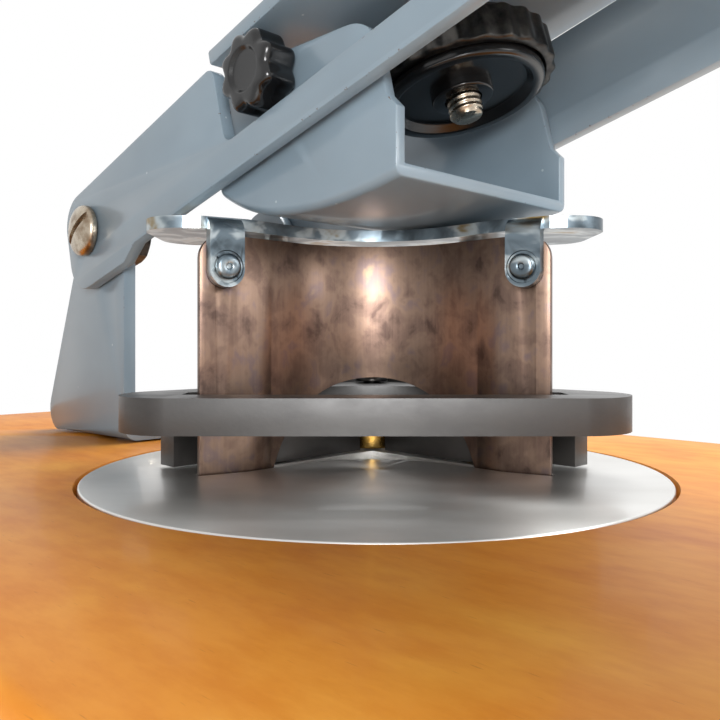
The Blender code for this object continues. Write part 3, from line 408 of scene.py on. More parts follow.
def addBoolean(piece, kind, tool):
    boolean = piece.modifiers.new(tool.name, "BOOLEAN")
    boolean.operation = kind
    boolean.solver = "EXACT"
    boolean.object = tool


def evaluated(piece):
    bpy.context.view_layer.update()
    return bpy.data.meshes.new_from_object(piece.evaluated_get(bpy.context.evaluated_depsgraph_get()))


def dress(name, mesh, slot, body, node, edge=0.0, edgeSteps=2, cutters=(), joined=(), wornEdge=False,
          sharp=32, finish=None):
    # Turn a mesh into a finished piece: join and cut it, round its edges, then ride and replace
    piece = mesh if isinstance(mesh, bpy.types.Object) else asObject(name, mesh)
    piece.name = name
    piece.data.shade_smooth()
    piece.data.materials.append(finish or finishes[slot])
    if wornEdge:
        piece.data.materials.append(wornEnamelEdge)
    tools = []
    for kind, group in (("UNION", joined), ("DIFFERENCE", cutters)):
        for index, tool in enumerate(group):
            other = tool if isinstance(tool, bpy.types.Object) else asObject(name + "Tool" + str(index), tool)
            addBoolean(piece, kind, other)
            tools.append(other)
    if edge:
        bevel = piece.modifiers.new("edge", "BEVEL")
        bevel.width = edge * mm
        bevel.segments = edgeSteps
        bevel.limit_method = "ANGLE"
        bevel.angle_limit = radians(sharp)
        bevel.use_clamp_overlap = True
        bevel.miter_outer = "MITER_ARC"
        if wornEdge:
            bevel.material = 1
    if piece.modifiers:
        shaped = evaluated(piece)
        piece.modifiers.clear()
        piece.data = shaped
    for tool in tools:
        bpy.data.objects.remove(tool)
    piece.data.shade_smooth()
    piece.data.set_sharp_from_angle(angle=radians(sharp + 6))
    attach(piece, body)
    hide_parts(node)
    return piece


# Screws and nuts. Shares are of the shank's radius, or of the head's height.

screwForm = dict(tipShare=0.5, taperShare=0.6, rimEdge=0.1, rimShare=0.32, slotEdge=0.08)
nutForm = dict(boreEdge=0.2, coneShare=0.96, coneSlope=1.7, levels=(0, 0.12, 0.25, 0.4, 0.55, 0.7))
threadChamfer = 1.5   # as a share of the thread's depth


def threaded(radius, pitch, depth, low, high):
    # The radius of a screw thread at an angle and height, between low and high
    def shape(angle, reach, height):
        if reach < radius - 0.001 or not low <= height <= high:
            return reach
        turn = (height / pitch - angle / tau) % 1
        return reach - depth * abs(2 * turn - 1)
    return shape


def threadedBar(radius, pitch, depth, low, high, place, way):
    # A stud with a thread all along and a small chamfer at each end
    chamfer = depth * threadChamfer
    start, end = low + chamfer, high - chamfer
    count = int((end - start) / (pitch / 6))
    points = [(0, low), (radius - chamfer, low)]
    points += [(radius, start + (end - start) * step / count) for step in range(count + 1)]
    points += [(radius - chamfer, high), (0, high)]
    return lathe(points, 48, place, way, threaded(radius, pitch, depth, low, high))


def screwPiece(node, body, facts, place, way, index=0, length=None, finish=None):
    # A slotted screw with a domed head. place is under its head, and way points out of the head.
    # Each next screw of a kind is turned by another spinStep.
    spin = facts["spin"] + facts["spinStep"] * index
    shank, head, height = facts["shank"], facts["head"], facts["headHeight"]
    length = length or facts["length"]
    rim, edge = height * screwForm["rimShare"], screwForm["rimEdge"]
    points = [(0, -length), (shank * screwForm["tipShare"], -length)]
    points += [(shank, -length + shank * screwForm["taperShare"]), (shank, 0)]
    points += [(head - edge, 0), (head, edge), (head, rim)]
    for step in range(1, 9):
        angle = radians(90) * step / 8
        points.append((head * cos(angle) if step < 8 else 0, rim + (height - rim) * sin(angle)))
    wide, half = head + overrun, facts["slot"] / 2
    cutter = slab(box(-wide, wide, -half, half), height - facts["slotDepth"], height + overrun)
    bmesh.ops.transform(cutter, matrix=standing(place, way, spin), verts=cutter.verts)
    dress(node + "_made", lathe(points, 56, place, way), "bolt_steel", body, node,
          edge=screwForm["slotEdge"], cutters=[cutter], sharp=40, finish=finish)


def nutPiece(node, body, flats, height, boreRadius, place, way, spin=0.0, finish=None):
    # A hexagon whose corners are turned down by a cone at both ends
    flat, edge, sixth = flats / 2, nutForm["boreEdge"], tau / 6
    corner = flat / cos(radians(30))

    def shape(angle, reach, level):
        if reach <= boreRadius + edge:
            return reach
        hexReach = flat / cos((angle + sixth / 2) % sixth - sixth / 2)
        inside = min(level, height - level)
        return min(hexReach, flat * nutForm["coneShare"] + inside * nutForm["coneSlope"])
    levels = [level for level in nutForm["levels"] if level < height / 2]
    points = [(boreRadius, edge), (boreRadius + edge, 0)]
    points += [(corner, level) for level in levels]
    points += [(corner, height - level) for level in reversed(levels)]
    points += [(boreRadius + edge, height), (boreRadius, height - edge)]
    mesh = lathe(points, 72, place, way, shape, spin)
    dress(node + "_made", mesh, "bolt_steel", body, node, sharp=24, finish=finish)


# Wooden base and feet

board = dict(width=120.0, back=114.0, front=104.0, height=20.0, corner=6.0, edge=1.2, cutEdge=0.25,
             chute=27.0, chuteShift=6.0, recess=38.0, recessDepth=6.3, footHoleTop=-14.0,
             bracketHoleLow=-12.0)
bedScrew = dict(ring=31.8, angles=(-90.0, 10.0, 170.0), shank=1.6, head=3.6, headHeight=1.8, length=9.0,
                slot=1.0, slotDepth=0.8, level=-11.1, spin=0, spinStep=40)
foot = dict(radius=8.0, height=5.0, inset=16.0, rim=1.5, well=3.5, wellDepth=2.4, bore=1.7)
footScrew = dict(shank=1.5, head=3.2, headHeight=1.4, length=6.6, slot=0.9, slotDepth=0.6, spin=25,
                 spinStep=50)
bracketScrew = dict(across=10.0, front=53.0, back=70.0, shank=1.7, head=3.8, headHeight=2.0, length=14.0,
                    slot=1.0, slotDepth=0.9, spin=20, spinStep=70)


def bedScrewPlaces():
    ring, angles = bedScrew["ring"], [radians(angle) for angle in bedScrew["angles"]]
    return [across(ring * cos(angle), ring * sin(angle)) for angle in angles]


def footPlaces():
    half, inset = board["width"] / 2 - foot["inset"], foot["inset"]
    return [(x, y) for x in (-half, half) for y in (-board["front"] + inset, board["back"] - inset)]


def bracketScrewPlaces():
    return [(leverMiddle + side * bracketScrew["across"], y) for side in (-1, 1)
            for y in (bracketScrew["front"], bracketScrew["back"])]


def makeBase():
    half, low = board["width"] / 2, -board["height"] - overrun
    outline = box(-half, half, -board["front"], board["back"], [board["corner"]] * 4, 12)
    mesh = slab(outline, -board["height"], 0)
    roundEdges(mesh, [edge for edge in mesh.edges if edge.verts[0].co.z == edge.verts[1].co.z],
               board["edge"], 4)
    cutters = [hole(board["recess"], -board["recessDepth"], overrun, (0, 0, 0), steps=160)]
    cutters.append(hole(board["chute"], low, -overrun, (*across(0, board["chuteShift"]), 0), steps=120))
    for place in bedScrewPlaces():
        cutters += holes([place], bedScrew["shank"] + boreGap, low, -overrun)
        cutters += holes([place], bedScrew["head"] + seatGap, low, bedScrew["level"] + seatGap)
    cutters += holes(footPlaces(), foot["bore"], low, board["footHoleTop"])
    cutters += holes(bracketScrewPlaces(), bracketScrew["shank"] + boreGap, board["bracketHoleLow"], overrun)
    dress("wooden_board", mesh, "varnished_wood", "base", "wooden_base", edge=board["cutEdge"],
          cutters=cutters, sharp=40)


def makeFeet():
    top = -board["height"] - seatGap
    low = top - foot["height"]
    bore, radius, well, seat = foot["bore"], foot["radius"], foot["well"], low + foot["wellDepth"]
    for index, (x, y) in enumerate(footPlaces()):
        number = str(index + 1)
        corners = [(bore, top, 0), (radius, top, 0.5), (radius - foot["rim"], low, 0.8), (well, low, 0.3)]
        corners += [(well, seat, 0), (bore, seat, 0)]
        dress("rubber_foot_" + number, lathe(roundedOutline(corners), 72, (x, y, 0)), "black_rubber", "base",
              "foot_" + number)
        screwPiece("foot_screw_" + number, "base", footScrew, (x, y, seat - seatGap), down, index)


makeBase()
makeFeet()
print("base and feet made")


# Blade and bed disc

blade = dict(thickness=1.0, cornerRadius=16.0, middle=-6.9, leg=8.4, wing=6.2, legAngle=45.0, wingAngle=29.0,
             top=30.9, heel=2.5, archRadius=17.2, archTop=11.9, corner=3.0, dieGap=0.3, step=0.45, edge=0.12)
disc = dict(radius=37.5, height=6.0, rim=0.25, lowRim=0.4, bushHole=2.7, screwHole=1.5, bedHoleTop=-1.5,
            cutEdge=0.1)
pin = dict(across=18.0, along=-4.0, radius=1.5, below=2.6, collar=2.9, collarHeight=1.2, topGap=0.1,
           plateCut=(30.0, 36.0), clip=3.2, clipHeight=0.8, bushWall=0.8, flange=3.6, flangeHeight=0.6)
tab = dict(width=4.6, bottom=24.1, bend=0.7, rivet=26.7, rivetHead=1.65, rivetHeight=0.8, rivetNeck=0.9,
           rivetSeat=0.15, rivetHole=1.1, ringInner=1.0, ring=2.05, ringDepth=0.18, ringLean=0.15,
           ringOver=0.2, endFlat=0.02, cut=3.0)
guardScrew = dict(across=17.6, along=13.2, shank=1.3, head=2.6, headHeight=1.4, length=13.7, slot=0.8,
                  slotDepth=0.7, spin=35, spinStep=60)
spacer = dict(radius=4.6, place=21.4, groove=((0, 2.3), (0.35, 2.6), (0.35, 3.3), (0, 3.6)))
halfBlade = blade["thickness"] / 2
wingAngle = radians(blade["wingAngle"])
arcHalf = blade["cornerRadius"] * radians(blade["legAngle"])
legEnd = arcHalf + blade["leg"]
wingEnd = legEnd + blade["wing"]


def bladePlace(distance, offset):
    # A place in the blade's plan, at a distance from its middle and an offset behind its middle line
    side = 1 if distance >= 0 else -1
    run = abs(distance)
    radius, middle = blade["cornerRadius"], blade["middle"]
    if run <= arcHalf:
        angle = run / radius
        return (side * (radius + offset) * sin(angle), middle + (radius + offset) * cos(angle))
    legAngle = radians(blade["legAngle"])
    start = Vector((radius * sin(legAngle), middle + radius * cos(legAngle)))
    (legWay, legBack), (wingWay, wingBack) = (
        (Vector((cos(angle), -sin(angle))), Vector((sin(angle), cos(angle))))
        for angle in (legAngle, wingAngle))
    bend = start + legWay * blade["leg"]
    if abs(run - legEnd) < 1e-6:
        mean = (legBack + wingBack).normalized()
        place = bend + mean * (offset / mean.dot(legBack))
    elif run < legEnd:
        place = start + legWay * (run - arcHalf) + legBack * offset
    else:
        place = bend + wingWay * (run - legEnd) + wingBack * offset
    return (side * place.x, place.y)


def bladeStops(step, extra=()):
    count = int(arcHalf / step)
    half = {arcHalf * index / count for index in range(count + 1)} | {legEnd, wingEnd} | set(extra)
    return sorted(half | {-value for value in half})


def bladeLine(offset, extra):
    points = []
    for distance in bladeStops(1.0):
        if abs(distance) == wingEnd:
            distance += extra if distance > 0 else -extra
        points.append(bladePlace(distance, offset))
    return points


def bladeLow(distance):
    run, radius = abs(distance), blade["archRadius"]
    if run >= radius:
        return -blade["heel"]
    return max(-blade["heel"], blade["archTop"] - radius + sqrt(radius ** 2 - run ** 2))


def bladeHigh(distance):
    inside, corner = wingEnd - abs(distance), blade["corner"]
    if inside >= corner:
        return blade["top"]
    return blade["top"] - corner + sqrt(corner ** 2 - (corner - inside) ** 2)


def rivetPlaces():
    for side, sign in sides:
        x, y = across(*bladePlace(sign * (legEnd + wingEnd) / 2, 0))
        way = Vector((*across(-sign * sin(wingAngle), -cos(wingAngle)), 0))
        yield side, Vector((x, y, tab["rivet"])), way


def rivetHoles(low, high):
    return [hole(tab["rivetHole"], low, high, place, way) for side, place, way in rivetPlaces()]


def pinPlaces():
    return (("left", pin["along"], pin["across"]), ("right", pin["across"], pin["along"]))


def guardScrewPlaces():
    left = ("left", -guardScrew["along"], guardScrew["across"])
    right = ("right", guardScrew["across"], -guardScrew["along"])
    return (left, right, ("rear", *across(0, spacer["place"])))


def fixingHoles(low, high, wanted=("left", "right", "rear")):
    # For the guide pins' bushes and for the guard's screws
    pins = [place for place in pinPlaces() if place[0] in wanted]
    screws = [place for place in guardScrewPlaces() if place[0] in wanted]
    return holes(pins, disc["bushHole"], low, high) + holes(screws, disc["screwHole"], low, high)


def makeBlade():
    radius, corner = blade["archRadius"], blade["corner"]
    sweep = acos((-blade["heel"] - blade["archTop"] + radius) / radius)
    extra = [radius * sin(sweep * step / 48) for step in range(1, 49)]
    extra += [wingEnd - corner * (1 - cos(radians(90) * step / 8)) for step in range(1, 9)]
    stops = bladeStops(blade["step"], extra)
    stops = [stop for index, stop in enumerate(stops) if index == 0 or stop - stops[index - 1] > 1e-4]
    mesh = bmesh.new()
    columns = []
    for distance in stops:
        column = []
        low, high = bladeLow(distance), bladeHigh(distance)
        for offset, z in ((-halfBlade, low), (-halfBlade, high), (halfBlade, high), (halfBlade, low)):
            column.append(mesh.verts.new((*across(*bladePlace(distance, offset)), z)))
        columns.append(column)
    for before, after in zip(columns, columns[1:]):
        for index in range(4):
            following = (index + 1) % 4
            mesh.faces.new([before[index], after[index], after[following], before[following]])
    mesh.faces.new(columns[0])
    mesh.faces.new(list(reversed(columns[-1])))
    bmesh.ops.recalc_face_normals(mesh, faces=mesh.faces[:])
    dress("curved_blade", mesh, "blade_steel", "blade_unit", "blade", edge=blade["edge"],
          cutters=rivetHoles(-tab["cut"], tab["cut"]), sharp=50)


def dieOutline():
    half = halfBlade + blade["dieGap"]
    rightEnd, rightBend = bladePlace(wingEnd + blade["dieGap"], half), bladePlace(legEnd, half)
    corner = blade["middle"] + (blade["cornerRadius"] + half) / cos(radians(45))
    back = [rightEnd, rightBend, (0, corner), (-rightBend[0], rightBend[1]), (-rightEnd[0], rightEnd[1])]
    return [across(u, v) for u, v in bladeLine(-half, blade["dieGap"]) + back]


def makeDisc():
    low = -disc["height"]
    mesh = lathe(box(0, disc["radius"], low, 0, (0, disc["lowRim"], disc["rim"], 0)), 200)
    cutters = [slab(dieOutline(), low - overrun, overrun)] + fixingHoles(low - overrun, overrun)
    cutters += holes(bedScrewPlaces(), bedScrew["shank"] + boreGap, low - overrun, disc["bedHoleTop"])
    dress("steel_bed", mesh, "ground_steel", "base", "bed_disc", edge=disc["cutEdge"], cutters=cutters,
          sharp=40)
    for index, place in enumerate(bedScrewPlaces()):
        screwPiece("bed_screw_" + str(index + 1), "base", bedScrew, (*place, bedScrew["level"]), down,
                   index)


makeBlade()
makeDisc()
print("blade and bed made")


# Guard, its edge guides, screws and spacer

guide = dict(height=5.3, stop=12.3, post=18.7, outer=22.0, postEnd=19.3, stopEnd=12.5, back=9.6, edge=0.3)
guard = dict(bottom=5.9, height=4.5, front=12.1, side=22.0, frontCorner=7.5, backCorner=8.0, edge=0.95,
             slotFront=5.9, slotSide=24.6, slotBack=3.3, cut=3.0)
# Sizes of the lip along the guard's back edges, a dark wall put there as painted shade behind the blade
shadeLip = dict(height=1.6, inset=0.6, wall=2.4, reach=14.0, root=2.0, corner=7.6, innerCorner=6.0)
guardTop = guard["bottom"] + guard["height"]


def makeGuides():
    post, stop = -guide["postEnd"], -guide["stopEnd"]
    corners = [(post, guide["post"]), (stop, guide["post"]), (stop, guide["stop"])]
    corners += [(guide["back"], guide["stop"]), (guide["back"], guide["outer"]), (post, guide["outer"])]
    for side in ("left", "right"):
        outline = corners if side == "left" else [(y, x) for x, y in corners]
        dress("guide_block_" + side, slab(outline, seatGap, seatGap + guide["height"]), "black_paint", "base",
              "edge_guide_" + side, edge=guide["edge"], cutters=fixingHoles(-overrun, guardTop, (side,)))


def shadeLipOutline(back):
    # A low lip stands along the guard's two back edges. It is a dark wall put there as painted shade: the
    # guard's top behind the blade mirrors it and looks dark, as in the blade's shade
    outer, reach = back - shadeLip["inset"], shadeLip["reach"]
    step = shadeLip["wall"] / 2
    corners = [(-reach, outer - reach, 0), (0, outer, shadeLip["corner"]), (reach, outer - reach, 0)]
    corners += [(reach - step, outer - reach - step, 0), (0, outer - shadeLip["wall"], shadeLip["innerCorner"])]
    corners.append((step - reach, outer - reach - step, 0))
    return [across(u, v) for u, v in roundedOutline(corners, 10)]


def makeGuard():
    back, front = guard["side"] * sqrt(2), -guard["front"]
    corners = [(front - back, front, guard["frontCorner"]), (back - front, front, guard["frontCorner"])]
    corners.append((0, back, guard["backCorner"]))
    outline = [across(u, v) for u, v in roundedOutline(corners, 12)]
    side, sideV = guard["slotSide"], bladePlace(wingEnd, guard["slotBack"])[1]
    slotLine = [(-side, -guard["slotFront"]), (-side, sideV)] + bladeLine(guard["slotBack"], 0)[1:-1]
    slotLine += [(side, sideV), (side, -guard["slotFront"])]
    cutLow, cutHigh = guard["cut"], guardTop + guard["cut"]
    cutters = [slab([across(u, v) for u, v in slotLine], cutLow, cutHigh)] + fixingHoles(cutLow, cutHigh)
    # The lip joined here is painted shade: a dark wall that the guard's top mirrors behind the blade
    backShadeLip = slab(shadeLipOutline(back), guardTop - shadeLip["root"], guardTop + shadeLip["height"])
    dress("guard_plate", slab(outline, guard["bottom"], guardTop), "black_paint", "base", "guard_frame",
          edge=guard["edge"], edgeSteps=4, cutters=cutters, joined=[backShadeLip])
    # The guard's screws are made dark as painted shade, where the blade shades them
    for index, (side, x, y) in enumerate(guardScrewPlaces()):
        screwPiece("guard_screw_" + side, "base", guardScrew, (x, y, guardTop + seatGap), up, index,
                   finish=blackenedSteelAndPaintedShade)
    points = box(disc["screwHole"], spacer["radius"], seatGap, guard["bottom"] - seatGap, (0, 0.3, 0.3, 0))
    half = len(points) // 2
    groove = [(spacer["radius"] - depth, level) for depth, level in spacer["groove"]]
    mesh = lathe(points[:half] + groove + points[half:], 72, (*across(0, spacer["place"]), 0))
    dress("brass_spacer", mesh, "brass", "base", "guard_spacer")


makeGuides()
makeGuard()
print("guard made")


# Head plate with its tabs and rivets

head = dict(bottom=31.6, thickness=1.6, frontGap=0.9, earReach=30.3, earFront=5.6, earBack=12.3,
            earCorner=5.0, neck=24.5, back=17.4, backHalf=17.5, edge=0.68, tabGap=0.3)
headTop = head["bottom"] + head["thickness"]
tabOuter = halfBlade + head["tabGap"] + head["thickness"]
# The rivet's face, as (radius, share of its head's height): a flat head with a dimple
rivetFace = ((1.65, 0.35), (1.53, 0.6), (1.25, 0.8), (0.6, 0.85), (0.42, 0.75), (0.3, 0.45), (0, 0.4))


def tabStrip(place, way):
    # The bent strip's side view is (distance before the blade's middle, height); its width comes last
    thickness, bend, bottom, cut = head["thickness"], tab["bend"], tab["bottom"], tab["cut"]
    inner, outerRadius = tabOuter - thickness, bend + thickness
    points = [(-thickness, headTop), (inner - bend, headTop)]
    points += arc(inner - bend, headTop - outerRadius, outerRadius, 90, 0, 8)
    points += [(tabOuter, bottom - cut), (inner, bottom - cut)]
    points += arc(inner - bend, head["bottom"] - bend, bend, 0, 90, 8) + [(-thickness, head["bottom"])]
    half = tab["width"] / 2
    strip = asObject("tabStrip", slab(points, -half - overrun, half + overrun, "Y"))
    end = half - tab["endFlat"]
    outline = box(-half, half, bottom, headTop + cut, (end, end, 0, 0), 12)
    form = asObject("tabForm", slab(outline, -cut, tabOuter + overrun, "X"))
    trim = strip.modifiers.new("form", "BOOLEAN")
    trim.operation = "INTERSECT"
    trim.object = form
    shaped = evaluated(strip)
    strip.modifiers.clear()
    strip.data = shaped
    bpy.data.objects.remove(form)
    turn = Matrix.Rotation(atan2(way.y, way.x), 4, "Z")
    strip.data.transform(Matrix.Translation((place.x * mm, place.y * mm, 0)) @ turn)
    return strip


def makeHead():
    endU, endV = bladePlace(wingEnd, -head["frontGap"])
    neck, ear, earCorner = head["neck"], head["earReach"], head["earCorner"]
    right = [(endU, endV, 0.5), (neck, -head["earFront"], 0.8), (ear, -head["earFront"], earCorner)]
    right += [(ear, head["earBack"], earCorner), (neck, head["earBack"], 1.0)]
    right.append((head["backHalf"], head["back"], 1.5))
    left = [(-u, v, radius) for u, v, radius in reversed(right)]
    front = [(u, v, 0) for u, v in bladeLine(-head["frontGap"], 0)[1:-1]]
    outline = [across(u, v) for u, v in roundedOutline(front + right + left, 10)]
    # A shallow ring is pressed into the tab round each rivet's head
    level, high, ring = tabOuter - tab["ringDepth"], tabOuter + tab["ringOver"], tab["ring"]
    inner = tab["ringInner"]
    profile = [(inner, level), (ring, level), (ring + tab["ringLean"], high), (inner, high)]
    cutters = rivetHoles(0, tab["cut"])
    cutters += [lathe(profile, 48, place, way) for side, place, way in rivetPlaces()]
    cutters += holes(pinPlaces(), pin["radius"] + boreGap, *pin["plateCut"])
    strips = [tabStrip(place, way) for side, place, way in rivetPlaces()]
    dress("zinc_head_plate", slab(outline, head["bottom"], headTop), "zinc_plate", "blade_unit",
          "head_plate", edge=head["edge"], edgeSteps=3, cutters=cutters, joined=strips, sharp=40)
    front, back = tabOuter + tab["rivetSeat"], -halfBlade - tab["rivetSeat"]
    reach, rise, neck = tab["rivetHead"], tab["rivetHeight"], tab["rivetNeck"]
    points = [(0, back - rise)]
    for step in range(1, 6):
        angle = radians(15 * step)
        points.append((reach * sin(angle), back - rise * cos(angle)))
    points += [(reach, back), (neck, back), (neck, front), (reach, front)]
    points += [(radius, front + rise * share) for radius, share in rivetFace]
    for side, place, way in rivetPlaces():
        dress("rivet_" + side, lathe(points, 48, place, way), "zinc_plate", "blade_unit",
              "tab_rivet_" + side)


makeHead()
print("head plate made")


# Guide pins, clips, bushes and return springs

spring = dict(radius=2.65, wire=0.35, turns=6.0, low=11.6, high=29.8, points=28, travel=13.4, endGap=0.07,
              sides=12)
clipGap = ((-0.9, -4.2), (0.9, -4.2), (0.6, -1.2), (-0.6, -1.2))


def makeSpring(side, x, y):
    # It winds evenly between its seats, from half a wire inside one to half a wire inside the other
    wire, radius, count = spring["wire"], spring["radius"], int(spring["turns"] * spring["points"])
    low, high = spring["low"] + wire + spring["endGap"], spring["high"] - wire - spring["endGap"]
    curve = bpy.data.curves.new("spring_" + side, "CURVE")
    curve.dimensions = "3D"
    curve.bevel_depth = wire * mm
    curve.bevel_resolution = spring["sides"] // 2 - 2
    curve.use_fill_caps = True
    spline = curve.splines.new("POLY")
    spline.points.add(count)
    for index, point in enumerate(spline.points):
        angle = tau * index / spring["points"]
        height = low + (high - low) * index / count
        point.co = ((x + radius * cos(angle)) * mm, (y + radius * sin(angle)) * mm, height * mm, 1)
    holder = newObject("spring_" + side, curve)
    mesh = evaluated(holder)
    bpy.data.objects.remove(holder)
    made = dress("spring_" + side, newObject("spring_" + side, mesh), "spring_steel", "base",
                 "return_spring_" + side)
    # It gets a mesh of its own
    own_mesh(made)


def makePins():
    low, top = -disc["height"], guardTop + seatGap
    pinLow, pinHigh = low - pin["below"], headTop - pin["topGap"]
    collarHigh = head["bottom"] - seatGap
    collarLow = collarHigh - pin["collarHeight"]
    inside = pin["radius"] + boreGap
    outside, flange, flangeTop = inside + pin["bushWall"], pin["flange"], top + pin["flangeHeight"]
    clipHigh = low - seatGap
    clipLow = clipHigh - pin["clipHeight"]
    radius, collar = pin["radius"], pin["collar"]
    stem = [(0, pinLow, 0), (radius, pinLow, 0.4), (radius, collarLow, 0.1), (collar, collarLow, 0.25)]
    stem += [(collar, collarHigh, 0.25), (radius, collarHigh, 0.1), (radius, pinHigh, 0.3), (0, pinHigh, 0)]
    bush = [(inside, low, 0.15), (outside, low, 0.2), (outside, top, 0.1), (flange, top, 0.15)]
    bush += [(flange, flangeTop, 0.15), (inside, flangeTop, 0.15)]
    for side, x, y in pinPlaces():
        dress("pin_" + side, lathe(roundedOutline(stem), 56, (x, y, 0)), "ground_steel", "blade_unit",
              "guide_pin_" + side)
        gap = slab(clipGap, clipLow - overrun, clipHigh + overrun)
        bmesh.ops.translate(gap, vec=(x, y, 0), verts=gap.verts)
        clip = lathe(box(inside, pin["clip"], clipLow, clipHigh, (0, 0.2, 0.2, 0)), 56, (x, y, 0))
        dress("clip_" + side, clip, "spring_steel", "blade_unit", "pin_clip_" + side, cutters=[gap])
        dress("brass_bush_" + side, lathe(roundedOutline(bush, 3), 56, (x, y, 0)), "brass", "base",
              "guide_bush_" + side)
        makeSpring(side, x, y)


makePins()
print("pins and springs made")


# Upright bracket, pivot and lever

bracket = dict(half=18.8, sheet=2.1, front=46.7, back=78.0, topRadius=8.0, corner=4.0, bend=2.6,
               innerBend=0.6, edge=0.28, cutSide=5.0, cutTop=20.0)
lever = dict(half=19.25, sheet=2.1, low=7.4, high=8.6, earLow=9.3, earFront=10.5, earRun=4.0, earBack=7.9,
             earCorner=5.5, notchStart=41.0, notchEnd=80.0, notchLow=3.0, notchCorner=1.6, length=175.0,
             end=12.0, webStart=40.5, webEnd=128.0, webCut=20.0, edge=0.3, webEdge=0.35, cut=60.0)
pivot = dict(shank=3.0, head=4.3, headHeight=2.2, slot=1.1, slotDepth=1.0, spin=38.0, spinStep=-76.0,
             nutFlats=10.0, nutHeight=4.5)
rod = dict(shank=3.0, head=5.5, headHeight=2.6, slot=1.3, slotDepth=1.1, spin=70, spinStep=0)
grip = dict(radius=10.0, crown=1.6, endDrop=0.8, endEdge=0.35, endInset=0.5, steps=40)
wheel = dict(place=65.3, low=4.1, radius=12.5, height=7.0, rimWall=1.4, rimHeight=4.6, knurls=24,
             knurlDepth=0.35, recess=8.6, recessDepth=1.2, hubWall=1.6, stud=2.3, studLow=6.7, studOver=6.5,
             nutFlats=8.0, nutHeight=3.2, pitch=0.8, depth=0.28)


def bendFolds(mesh, level, size, steps):
    # Round the lowest edges that run from left to right
    edges = [edge for edge in mesh.edges if all(vert.co.z < level + 0.01 for vert in edge.verts)
             and abs(edge.verts[0].co.x - edge.verts[1].co.x) < 0.01]
    roundEdges(mesh, edges, size, steps)


def makeBracket():
    front, back, sheet = bracket["front"], bracket["back"], bracket["sheet"]
    reach, floor = bracket["topRadius"], seatGap + sheet
    corners = [(front, seatGap, 0), (back, seatGap, bracket["corner"]), (pivotY + reach, pivotZ, 0)]
    points = roundedOutline(corners + [(front, pivotZ, 0)], 8)[:-1]
    points += arc(pivotY, pivotZ, reach, 0, 180, 24)[1:-1] + [(front, pivotZ)]
    left, right = leverMiddle - bracket["half"], leverMiddle + bracket["half"]
    mesh = slab(points, left, right, "X")
    bendFolds(mesh, seatGap, bracket["bend"], 8)
    side, over = bracket["cutSide"], 2 * overrun
    outline = box(front - side, back + side, floor, pivotZ + bracket["cutTop"])
    room = slab(outline, left + sheet, right - sheet, "X")
    bendFolds(room, floor, bracket["innerBend"], 3)
    cutters = [room, hole(pivot["shank"] + boreGap, left - over, right + over, (0, pivotY, pivotZ),
                          sideways)]
    cutters += holes(bracketScrewPlaces(), bracketScrew["shank"] + boreGap, -over, floor + over)
    dress("bracket", mesh, "grey_enamel", "base", "upright_bracket", edge=bracket["edge"], cutters=cutters,
          wornEdge=True)
    for index, (x, y) in enumerate(bracketScrewPlaces()):
        screwPiece("bracket_screw_" + str(index + 1), "base", bracketScrew, (x, y, floor + seatGap), up,
                   index)


def makePivot():
    outer = lever["half"] + lever["sheet"] + seatGap
    inner = bracket["half"] - bracket["sheet"] - seatGap
    for index, (side, sign) in enumerate(sides):
        screwPiece("pivot_bolt_" + side, "base", pivot, (leverMiddle + sign * outer, pivotY, pivotZ),
                   (sign, 0, 0), index, length=outer - inner + pivot["nutHeight"])
        nutPiece("pivot_nut_" + side, "base", pivot["nutFlats"], pivot["nutHeight"], pivot["shank"] + boreGap,
                 (leverMiddle + sign * inner, pivotY, pivotZ), (-sign, 0, 0), spin=12, finish=blackenedSteelAndPaintedShade)


def leverOutline(notched):
    end, tip, low, high = lever["length"] + lever["end"], lever["low"] - 0.3, -lever["low"], lever["high"]
    earBack, earLow, earFront = -lever["earBack"], -lever["earLow"], lever["earFront"]
    corners = [(earBack, lever["low"], lever["earCorner"]), (earBack, earLow, lever["earCorner"])]
    corners += [(earFront, earLow, 0), (earFront + lever["earRun"], low, 0)]
    corners += [(end, low, tip), (end, high, tip)]
    if notched:
        start, stop, notch = lever["notchStart"], lever["notchEnd"], -lever["notchLow"]
        ends = ((stop, high), (stop, notch), (start, notch), (start, high))
        corners += [(s, n, lever["notchCorner"]) for s, n in ends]
    return [alongLever(s, n) for s, n in roundedOutline(corners, 10)]


def gripProfile(bore, inside):
    end = grip["radius"] - grip["crown"] - grip["endDrop"]
    points = [(bore, -inside), (end, -inside)]
    for step in range(grip["steps"] + 1):
        along = -1 + 2 * step / grip["steps"]
        reach = grip["radius"] - grip["crown"] * along * along
        if step in (0, grip["steps"]):
            reach -= grip["endEdge"]
        points.append((reach, (inside - grip["endInset"]) * along))
    return points + [(end, inside), (bore, inside)]


